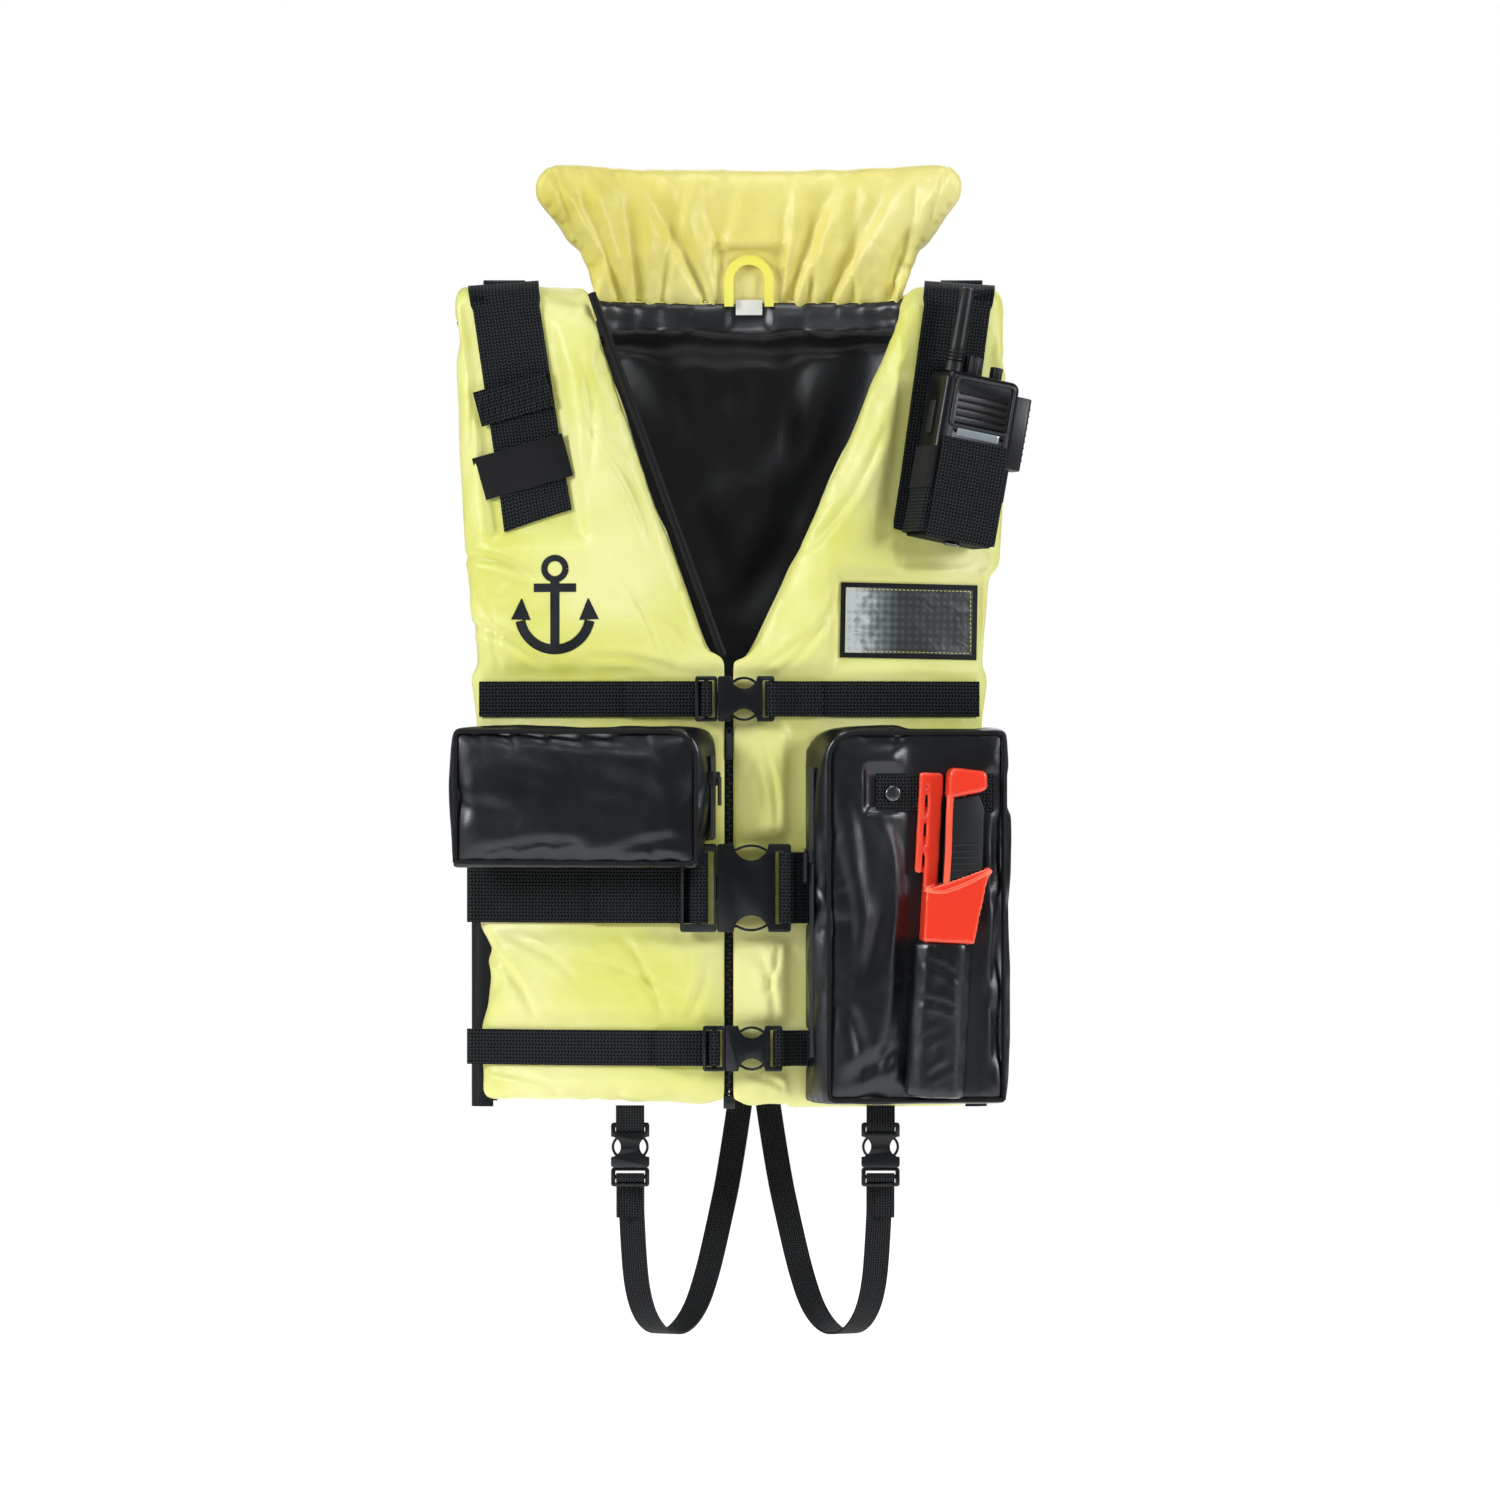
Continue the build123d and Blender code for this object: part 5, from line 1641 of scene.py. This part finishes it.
@dataclass
class Knife:
    """Belt knife in its sheath, with its strap, snap and cloth sleeve."""

    def build(self) -> None:
        """Makes the pieces."""
        self.moulded("sheath", "vest", 0.0011, 9)
        self.moulded("knife_pommel", "knife", 0.0009, 50)
        eased_copy("knife_grip", "knife", "grip_rubber", Finish.RUBBER, 2.0)
        eased_copy("knife_blade", "knife", "blade_steel", Finish.STEEL, 0.3)
        self.ribs()
        self.sleeve()
        level = Place(KNIFE.origin, KNIFE.yaw, 0.0)
        path = level.path([(x, 60.5, 0.95 + 0.25 * math.sin(x / 9.0)) for x in np.linspace(-50, 34, 40)])
        strap = strip("sheath_strap_webbing", path, (0, 0, 1), 0.0255, 0.0014, 0.002, 8)
        dress(strap, "vest", "webbing", Finish.BELT, "sheath_strap", angle=60)
        rows = [level.path([(x, 50, 2.1), (x, 71, 2.1)]) for x in (-22, 30)]
        dress(thread("strap_stitches", rows, Finish.THREAD), "vest", "webbing", Finish.THREAD)
        eased_copy("snap_studs", "vest", "snap_metal", Finish.SNAP, 1.0)

    def moulded(self, node: str, body: str, voxel: float, rounds: int) -> None:
        """Softens one moulding all over, as it comes out of its tool.

        Args:
            node: The CAD node.
            body: The moving body it belongs to.
            voxel: The size of the remesh.
            rounds: How many rounds of smoothing.
        """
        piece = remeshed(copy_of(node, f"{node}_moulding"), voxel, rounds)
        move_points(piece, points_of(piece) + normals_of(piece) * 0.0004)
        dress(piece, body, "sheath_plastic", Finish.SHEATH, node, angle=80)

    def ribs(self) -> None:
        """Adds the raised ribs that the thumb rests on, across the grip."""
        made = []
        for n in range(6):
            y = 2 + n * 4.4
            line = KNIFE.path([(0.5, y, 18.1), (9, y + 0.8, 18.35), (18, y + 1.6, 18.1)])
            made.append(cord_mesh("rib", line, 0.0008, 12))
        dress(joined("grip_ribs", made), "knife", "grip_rubber", Finish.RUBBER, angle=80)
        line = [(2, 74), (-1.6, 68), (-3.2, 58), (-3.0, 40), (-2.4, 20), (-2.6, 0), (-2.6, -22)]
        spine = cord_mesh("grip_spine", KNIFE.path([(x, y, 16.4) for x, y in line]), 0.0026, 16)
        dress(spine, "knife", "sheath_plastic", Finish.SHEATH, angle=80)
        mouth = [(-18.2, -7.2), (-12, -9.0), (-4, -8.6), (6, -4.6), (16, 0.6), (24, 5.4), (27.6, 8.0)]
        rim = cord_mesh("sheath_mouth_rim", KNIFE.path([(x, y, 18.9) for x, y in mouth]), 0.0021, 16)
        dress(rim, "vest", "sheath_plastic", Finish.SHEATH, angle=80)

    def sleeve(self) -> None:
        """Softens and creases the cloth sleeve that the sheath stands in."""
        piece = copy_of("knife_sleeve", "knife_sleeve_cloth")
        edit(piece, lambda: bpy.ops.mesh.convex_hull())
        remeshed(piece, 0.0026, 5)
        move_points(piece, points_of(piece) + normals_of(piece) * 0.0008)
        points, normals = points_of(piece), normals_of(piece)
        x, _, z = points.T / MM
        _, _, out = KNIFE.axes()
        local = (points - np.array(KNIFE.origin) * MM) / MM
        high = np.clip((local @ out - 6) / 6, 0, 1)
        lift = np.zeros(len(points))
        for crease in (
            Crease(122, -500, 150, -516, 2.6, 1.4), Crease(120, -528, 148, -536, 2.4, 1.3),
            Crease(118, -560, 140, -548, 2.6, 1.4), Crease(124, -584, 146, -572, 2.4, 1.2),
            Crease(146, -498, 138, -580, 2.6, 1.0),
        ):
            lift += crease.lift(x, z)
        lift = np.maximum(lift + 0.8 * fractal(points, (0.014, 0.02, 0.03), 9.0), -0.1)
        move_points(piece, points + normals * ((lift * high + 0.5) * MM)[:, None])
        dress(piece, "vest", "black_fabric", Finish.PACK, "knife_sleeve", angle=80)


# --- shoulders and radio -------------------------------------------------------------------


def over_shoulder(x: float, z_low: float, back_z: float, lift: float) -> list[tuple[float, float, float]]:
    """Points from the chest up over one shoulder and down the back, at one X."""
    half = TORSO.y - TORSO.chest(x, lift)
    straight = TORSO.half_depth - TORSO.arch_radius
    radius = TORSO.arch_radius + lift
    centre = TORSO.shoulder_z - TORSO.arch_radius
    steep = math.acos(min(1.0, (half - straight) / radius))
    front = [(x, TORSO.y - half, z) for z in np.linspace(z_low, centre + radius * math.sin(steep) - 0.003, 30)]
    arch = []
    for turn in np.linspace(steep + 0.06, math.pi / 2, 9):
        arch.append((x, TORSO.y - straight - radius * math.cos(turn), centre + radius * math.sin(turn)))
    half_way = front + arch
    back = [(a, 2 * TORSO.y - b, c) for a, b, c in reversed(half_way) if c > back_z]
    return half_way + back


@dataclass
class Shoulders:
    """Webbing, keeper and elastic on the shoulders."""

    tilt: float = 15.0  # of the keeper and the elastic, in degrees
    top_z: float = -0.013  # where the webbing starts to run aslant
    wide: float = 0.050
    radio_room: float = 0.0023  # the most that the webbing stands off the chest, under the radio

    def build(self) -> None:
        """Makes the pieces."""
        strips = []
        for top, low, z_low, rise in ((-0.176, -0.148, -0.198, 0.015), (0.151, 0.126, -0.198, -0.010)):
            path = np.array(over_shoulder(top, z_low + rise / 2, -0.080, 0.00135))
            slide = np.clip((self.top_z - path[:, 2]) / (self.top_z - z_low), 0, 1) * (path[:, 1] < TORSO.y)
            path[:, 0] += (low - top) * slide
            front = path[:, 1] < TORSO.y - 0.02
            for i in np.nonzero(front)[0]:
                steep = path[i, 2] < TORSO.shoulder_z - 0.012
                if steep:
                    path[i, 1] = TORSO.chest(path[i, 0], 0.00135)
            turn = math.atan2(low - top, self.top_z - z_low)
            sides = np.zeros((len(path), 3))
            for i, (x, y, z) in enumerate(path):
                yaw = math.asin((x - TORSO.x) / TORSO.face_radius) * (1 if y < TORSO.y else -1)
                flat = 1.0 if TORSO.shoulder_z - z > 0.012 else 0.0
                tilt = turn * (0.5 if y < TORSO.y - 0.02 else 0.0)
                sides[i] = (math.cos(yaw * flat), math.sin(yaw * flat), tilt)
            band = strip("shoulder", path, sides, self.wide, 0.0018, 0.0024, 14)
            points = points_of(band)
            foot = np.clip((z_low + 0.04 - points[:, 2]) / 0.04, 0, 1) * (points[:, 1] < TORSO.y)
            points[:, 2] += foot * (points[:, 0] - low) * rise / self.wide
            limit = np.array([TORSO.chest(x, self.radio_room) for x in points[:, 0]])
            points[:, 1] = np.maximum(points[:, 1], limit)
            move_points(band, points)
            strips.append(band)
        dress(joined("shoulder_strap_webbing", strips), "vest", "webbing", Finish.BELT, "shoulder_webbing", angle=60)
        for name, x, z, wide, tall, lift, finish, wave in (
            ("right_shoulder_keeper", -166.5, -105.0, 53.0, 25.0, 3.9, Finish.BELT, 0.0),
            ("right_shoulder_band", -160.0, -153.0, 66.0, 31.0, 3.7, Finish.ELASTIC, 0.5),
        ):
            self.band(name, x, z, wide, tall, lift, finish, wave)
        eased_copy("shoulder_adjusters", "vest", "black_plastic", Finish.ACETAL, 0.7)
        edge = [(-0.1125 + 0.093 * t, -0.030 - 0.2565 * t) for t in np.linspace(0, 1, 60)]
        line = [(x + 0.0012, TORSO.chest(x) + 0.0088, z) for x, z in edge]
        binding = cord_mesh("neck_edge_binding", line, 0.0030, 16)
        dress(binding, "vest", "lining_fabric", Finish.BINDING, angle=80)

    def band(
        self, node: str, x: float, z: float, wide: float, tall: float, lift: float, finish: Finish, wave: float
    ) -> None:
        """Makes one band across the shoulder webbing.

        Args:
            node: The CAD node it stands for.
            x: Its middle.
            z: Its height.
            wide: Its length across.
            tall: Its width.
            lift: How far it stands off the vest.
            finish: Its finish.
            wave: How much it waves, where it is soft.
        """
        tilt = math.radians(self.tilt)
        path = []
        for s in np.linspace(-wide / 2, wide / 2, 30):
            px, pz = x + s * math.cos(tilt), z + s * math.sin(tilt)
            out = lift + wave * math.sin(s / 7.5) - 0.8 * max(0.0, abs(s) - 26) / 8
            path.append((px * MM, TORSO.chest(px * MM, out * MM), pz * MM))
        across = (-math.sin(tilt), 0, math.cos(tilt))
        piece = strip(f"{node}_cloth", path, across, tall * MM, 0.002, 0.0016 if wave else 0.0007, 10)
        points = points_of(piece)
        if wave:
            edge = np.abs(points @ np.array(across) - np.array(path).mean(axis=0) @ np.array(across)) / (tall * MM / 2)
            points[:, 1] -= 0.0005 * edge**4
        else:
            s = (points[:, 0] - x * MM) / math.cos(tilt)
            points[:, 1] -= 0.0013 * np.abs(np.sin(s / 0.0044 * math.pi))
        move_points(piece, points)
        dress(piece, "vest", "webbing", finish, node, angle=70)


RADIO_SLOPE = math.degrees(math.asin((143.0 + 14.0) / 460.0))
RADIO = Place(
    (
        143.0 + 5.4 * math.sin(math.radians(RADIO_SLOPE)),
        TORSO.chest(0.143) / MM - 5.4 * math.cos(math.radians(RADIO_SLOPE)), -147.0,
    ),
    RADIO_SLOPE, 10.5,
)


@dataclass
class Radio:
    """Handheld radio in its webbing sling."""

    half_w: float = 28.0
    half_h: float = 58.0
    thick: float = 34.0

    def build(self) -> None:
        """Makes the radio's pieces and its sling."""
        for node, body, finish, ease in (
            ("radio_body", "radio", Finish.RADIO, 0.9), ("radio_side_adapter", "radio", Finish.RADIO, 0.9),
            ("radio_talk_button", "talk_button", Finish.RUBBER, 0.8),
            ("radio_volume_knob", "volume_knob", Finish.RUBBER, 0.5),
            ("radio_channel_knob", "channel_knob", Finish.RUBBER, 0.4),
        ):
            slot = "grip_rubber" if finish is Finish.RUBBER else "radio_plastic"
            eased_copy(node, body, slot, finish, ease)
        self.antenna()
        self.face()
        self.sling()

    def antenna(self) -> None:
        """Spins the whip antenna's tapering outline, with the rings at its foot."""
        x = -self.half_w + 10
        profile = [(0, 0.2), (6.4, 0.2), (6.4, 5.0)]
        for n in range(4):
            base = 5.4 + n * 2.6
            profile += [(6.4 - 0.05 * n, base + 0.5), (6.4 - 0.05 * n, base + 1.7), (5.6, base + 2.1)]
        profile += [(5.9, 17.0), (5.8, 20.0), (5.5, 40.0), (5.2, 55.0), (4.4, 59.0), (2.4, 60.5), (0, 60.9)]
        mesh = bpy.data.meshes.new("whip_antenna")
        mesh.from_pydata([(r * MM, 0, h * MM) for r, h in profile], [(i, i + 1) for i in range(len(profile) - 1)], [])
        piece = linked("whip_antenna", mesh)
        apply_modifier(
            piece, "SCREW", angle=math.tau, steps=32, render_steps=32, use_merge_vertices=True, merge_threshold=1e-5
        )
        edit(
            piece, lambda: bpy.ops.mesh.remove_doubles(threshold=1e-6),
            lambda: bpy.ops.mesh.normals_make_consistent(inside=False),
        )
        across, up, out = RADIO.axes()
        foot = RADIO.at(x, self.half_h + 0.3, self.thick / 2)
        local = points_of(piece)
        move_points(piece, foot + local[:, :1] * across + local[:, 1:2] * out + local[:, 2:] * up)
        edit(piece, lambda: bpy.ops.mesh.normals_make_consistent(inside=False))
        dress(piece, "radio", "grip_rubber", Finish.RUBBER, "radio_antenna", angle=35)

    def face(self) -> None:
        """Adds the raised frame round the speaker slots, the pale display strip and the ribs on the side adapter."""
        z = self.thick + 0.5
        frame = rounded(((0, 54, 0), (24, 54, 4), (24, 20, 3), (-20, 20, 3), (-20, 54, 4), (0, 54, 0)))
        rim = cord_mesh("speaker_frame", RADIO.path([(x, y, z) for x, y in frame]), 0.0012, 12)
        dress(rim, "radio", "radio_plastic", Finish.RADIO, angle=80)
        path = RADIO.path([(x, 15.6, self.thick + 0.15) for x in np.linspace(-14, 18, 12)])
        _, up, _ = RADIO.axes()
        glass = strip("display_window", path, up, 0.0056, 0.0006, 0.002, 3)
        apply_modifier(glass, "BEVEL", width=0.0002, segments=2, limit_method="ANGLE", angle_limit=0.7)
        dress(glass, "radio", "radio_plastic", Finish.LENS, angle=50)
        ribs = []
        for n in range(9):
            y = 6 + n * 4.6
            ribs.append(cord_mesh("rib", RADIO.path([(42.6, y, 9.5), (42.7, y, 15), (42.6, y, 20.5)]), 0.0007, 12))
        dress(joined("adapter_ribs", ribs), "radio", "radio_plastic", Finish.RADIO, angle=80)

    def sling(self) -> None:
        """Folds the webbing sling under the radio and wraps its elastic round the sides."""
        under, face = -self.half_h - 1.6, self.thick + 1.6
        path = [(0, 11, -1.3), (0, under + 3, -1.3), (0, under + 0.8, -0.6), (0, under, 1.2), (0, under, face - 2)]
        path += [(0, under + 0.8, face - 0.6), (0, under + 3, face)]
        for y in np.linspace(under + 6, 11, 24):
            share = (y + 58) / 69 * math.pi
            path.append((0, y, face + 1.5 * math.sin(share) + 0.7 * math.sin(3 * share)))
        across, up, _ = RADIO.axes()
        webbing = strip("radio_sling_webbing", RADIO.path(path), across, 0.050, 0.0020, 0.0022, 12)
        dress(webbing, "vest", "webbing", Finish.BELT, "radio_sling", angle=60)
        wings, cheeks = [], []
        for side, low, high in ((-1, -27.0, 3.0), (1, -27.0, -3.5)):
            middle, tall = (low + high) / 2, high - low
            loop = [
                (side * 25.6, middle, -1.1), (side * 27.6, middle, -1.0), (side * 29.2, middle, 1.4),
                (side * 29.5, middle, 12), (side * 29.5, middle, 24), (side * 29.2, middle, face - 2.6),
                (side * 27.8, middle, face - 0.8), (side * 25.6, middle, face - 0.5),
            ]
            wings.append(strip("wing", RADIO.path(loop), up, tall * MM, 0.0014, 0.0016, 8))
            foot, cheek = (under + 1 + low) / 2, []
            for x, z in (
                (24.6, 0.2), (27.2, -0.4), (28.7, 1.0), (28.9, 12), (28.9, 24), (28.6, face - 2.8), (27, face - 1.4),
                (24.6, face - 1.2),
            ):
                cheek.append((side * x, foot, z))
            cheeks.append(strip("cheek", RADIO.path(cheek), up, (low - under - 1) * MM, 0.0012, 0.0016, 8))
        dress(joined("sling_elastic", wings), "vest", "black_fabric", Finish.ELASTIC, "radio_band", angle=70)
        dress(joined("sling_sides", cheeks), "vest", "webbing", Finish.BELT, angle=70)


# --- chest window and emblem ---------------------------------------------------------------


@dataclass
class ChestWindow:
    """Clear window patch with prismatic film, sewn to the left chest."""

    x: float = 113.0
    z: float = -262.0
    wide: float = 97.0
    tall: float = 53.0
    tilt: float = -1.0

    def path(self, wide: float, lift: float, drop: float = 0.0) -> list[tuple[float, float, float]]:
        """Points across the patch, drop below its middle."""
        tilt = math.radians(self.tilt)
        made = []
        for s in np.linspace(-wide / 2, wide / 2, 40):
            x = self.x + s * math.cos(tilt) + drop * math.sin(tilt)
            z = self.z + s * math.sin(tilt) - drop
            made.append((x * MM, TORSO.chest(x * MM, lift * MM), z * MM))
        return made

    def build(self) -> None:
        """Makes the border, the film and the stitches."""
        across = (math.sin(math.radians(-self.tilt)), 0, math.cos(math.radians(self.tilt)))
        border = strip("window_border", self.path(self.wide, 0.75), across, self.tall * MM, 0.0007, 0.002, 20)
        dress(border, "vest", "reflective", Finish.BINDING, "chest_window", angle=60)
        film = strip("window_film", self.path(self.wide - 7, 1.25), across, (self.tall - 7) * MM, 0.0005, 0.002, 20)
        points = points_of(film)
        points[:, 1] -= np.clip(0.0006 * fractal(points, (0.03, 1, 0.02), 12.0), -0.0002, 0.0007)
        move_points(film, points)
        dress(film, "vest", "reflective", Finish.FILM, angle=60)
        rows = []
        half_w, half_t = self.wide / 2 - 4.6, self.tall / 2 - 4.6
        for drop in (-half_t, half_t):
            rows.append(self.path(2 * half_w, 1.75, drop))
        for s in (-half_w, half_w):
            x = (self.x + s) * MM
            y = TORSO.chest(x, 0.00175)
            rows.append([(x, y, (self.z + t) * MM) for t in np.linspace(-half_t, half_t, 9)])
        dress(thread("window_stitches", rows, Finish.THREAD_YELLOW, 0.003), "vest", "reflective", Finish.THREAD_YELLOW)


@dataclass
class Emblem:
    """A plain anchor in screen-printed ink, of the builder's own drawing, on the right chest."""

    x: float = -137.0
    z: float = -252.0

    def build(self, cloth: Object) -> None:
        """Draws the anchor flat, lays it on the cloth and gives it the ink's thickness."""
        parts = []

        def stroke(points: Sequence[tuple[float, float]], wide: float, tip: float = 0.0) -> None:
            path = np.array([((self.x + x) * MM, -0.150, (self.z + z) * MM) for x, z in points])
            across = units(np.cross(np.gradient(path, axis=0), (0, 1, 0)))
            widths = np.linspace(wide, tip or wide, len(path)) * MM
            parts.append(self.ribbon(path, across, widths))

        stroke([(0, z) for z in np.linspace(20, -28, 20)], 6.5)
        stroke([(x, 13.5) for x in np.linspace(-15, 15, 14)], 6.0)
        stroke([(7.5 * math.cos(a), 27 + 7.5 * math.sin(a)) for a in np.linspace(0, math.tau, 40)], 4.5)
        stroke([(25 * math.cos(a), -5 + 25 * math.sin(a)) for a in np.linspace(-2.95, -0.19, 36)], 7.0)
        for side in (-1, 1):
            stroke([(side * (24.2 - 0.6 * t), -9 + 15 * t) for t in np.linspace(0, 1, 10)], 14.0, 0.6)
        piece = joined("anchor_print", parts)
        wrap = piece.modifiers.new("Lay", "SHRINKWRAP")
        wrap.target = cloth
        wrap.wrap_method = "PROJECT"
        wrap.use_project_y = True
        wrap.use_project_x = wrap.use_project_z = False
        wrap.use_negative_direction = wrap.use_positive_direction = True
        wrap.cull_face = "OFF"
        only(piece)
        bpy.ops.object.modifier_apply(modifier="Lay")
        points = points_of(piece)
        points[:, 1] -= 0.00022
        move_points(piece, points)
        apply_modifier(piece, "SOLIDIFY", thickness=0.0002, offset=0.0)
        dress(piece, "vest", "label", Finish.PRINT, angle=60)

    def ribbon(self, path: np.ndarray, across: np.ndarray, widths: np.ndarray) -> Object:
        """Makes one flat stroke of the print."""
        count = len(path) - 1
        made = primitive("grid", x_subdivisions=count, y_subdivisions=4, size=1)
        flat = points_of(made)
        column = np.rint((flat[:, 0] + 0.5) * count).astype(int)
        move_points(made, path[column] + across[column] * (flat[:, 1] * widths[column])[:, None])
        return made


def finish_left_over() -> None:
    """Gives each CAD node that is still shown the finish of its slot."""
    by_slot = {
        "hi_vis_fabric": Finish.SHELL, "foam": Finish.FOAM, "lining_fabric": Finish.LINING,
        "black_fabric": Finish.PACK, "webbing": Finish.BELT, "yellow_webbing": Finish.TAPE_YELLOW,
        "label": Finish.LABEL, "black_plastic": Finish.ACETAL, "radio_plastic": Finish.RADIO,
        "zip_metal": Finish.ZIP, "snap_metal": Finish.SNAP, "reflective": Finish.FILM,
        "sheath_plastic": Finish.SHEATH, "grip_rubber": Finish.RUBBER, "blade_steel": Finish.STEEL,
    }
    for name, node in frame["nodes"].items():
        if node.hide_render:
            continue
        slot_name = node.data.materials[0].name if node.data.materials and node.data.materials[0] else ""
        LOG.info("%s is shown as it is, slot %s", name, slot_name)
        finish = next((f for s, f in by_slot.items() if slot_name.startswith(s)), Finish.ACETAL)
        node.data.materials.clear()
        node.data.materials.append(finish.get())


def main() -> None:
    """Builds every sub-assembly in order and reports the pieces."""
    logging.basicConfig(level=logging.INFO, format="%(name)s: %(message)s")
    studio = Studio()
    studio.build()
    CrotchStraps().build()
    studio.floor()
    body = Body()
    body.build()
    for part in (Collar(), NeckTrim(), Belts(), FrontZip(), Pockets(), Knife(), Shoulders(), Radio(), ChestWindow()):
        LOG.info("making the %s", type(part).__name__)
        part.build()
    Emblem().build(body.covers["right_front"])
    finish_left_over()


if __name__ == "__main__":
    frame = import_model()
    main()
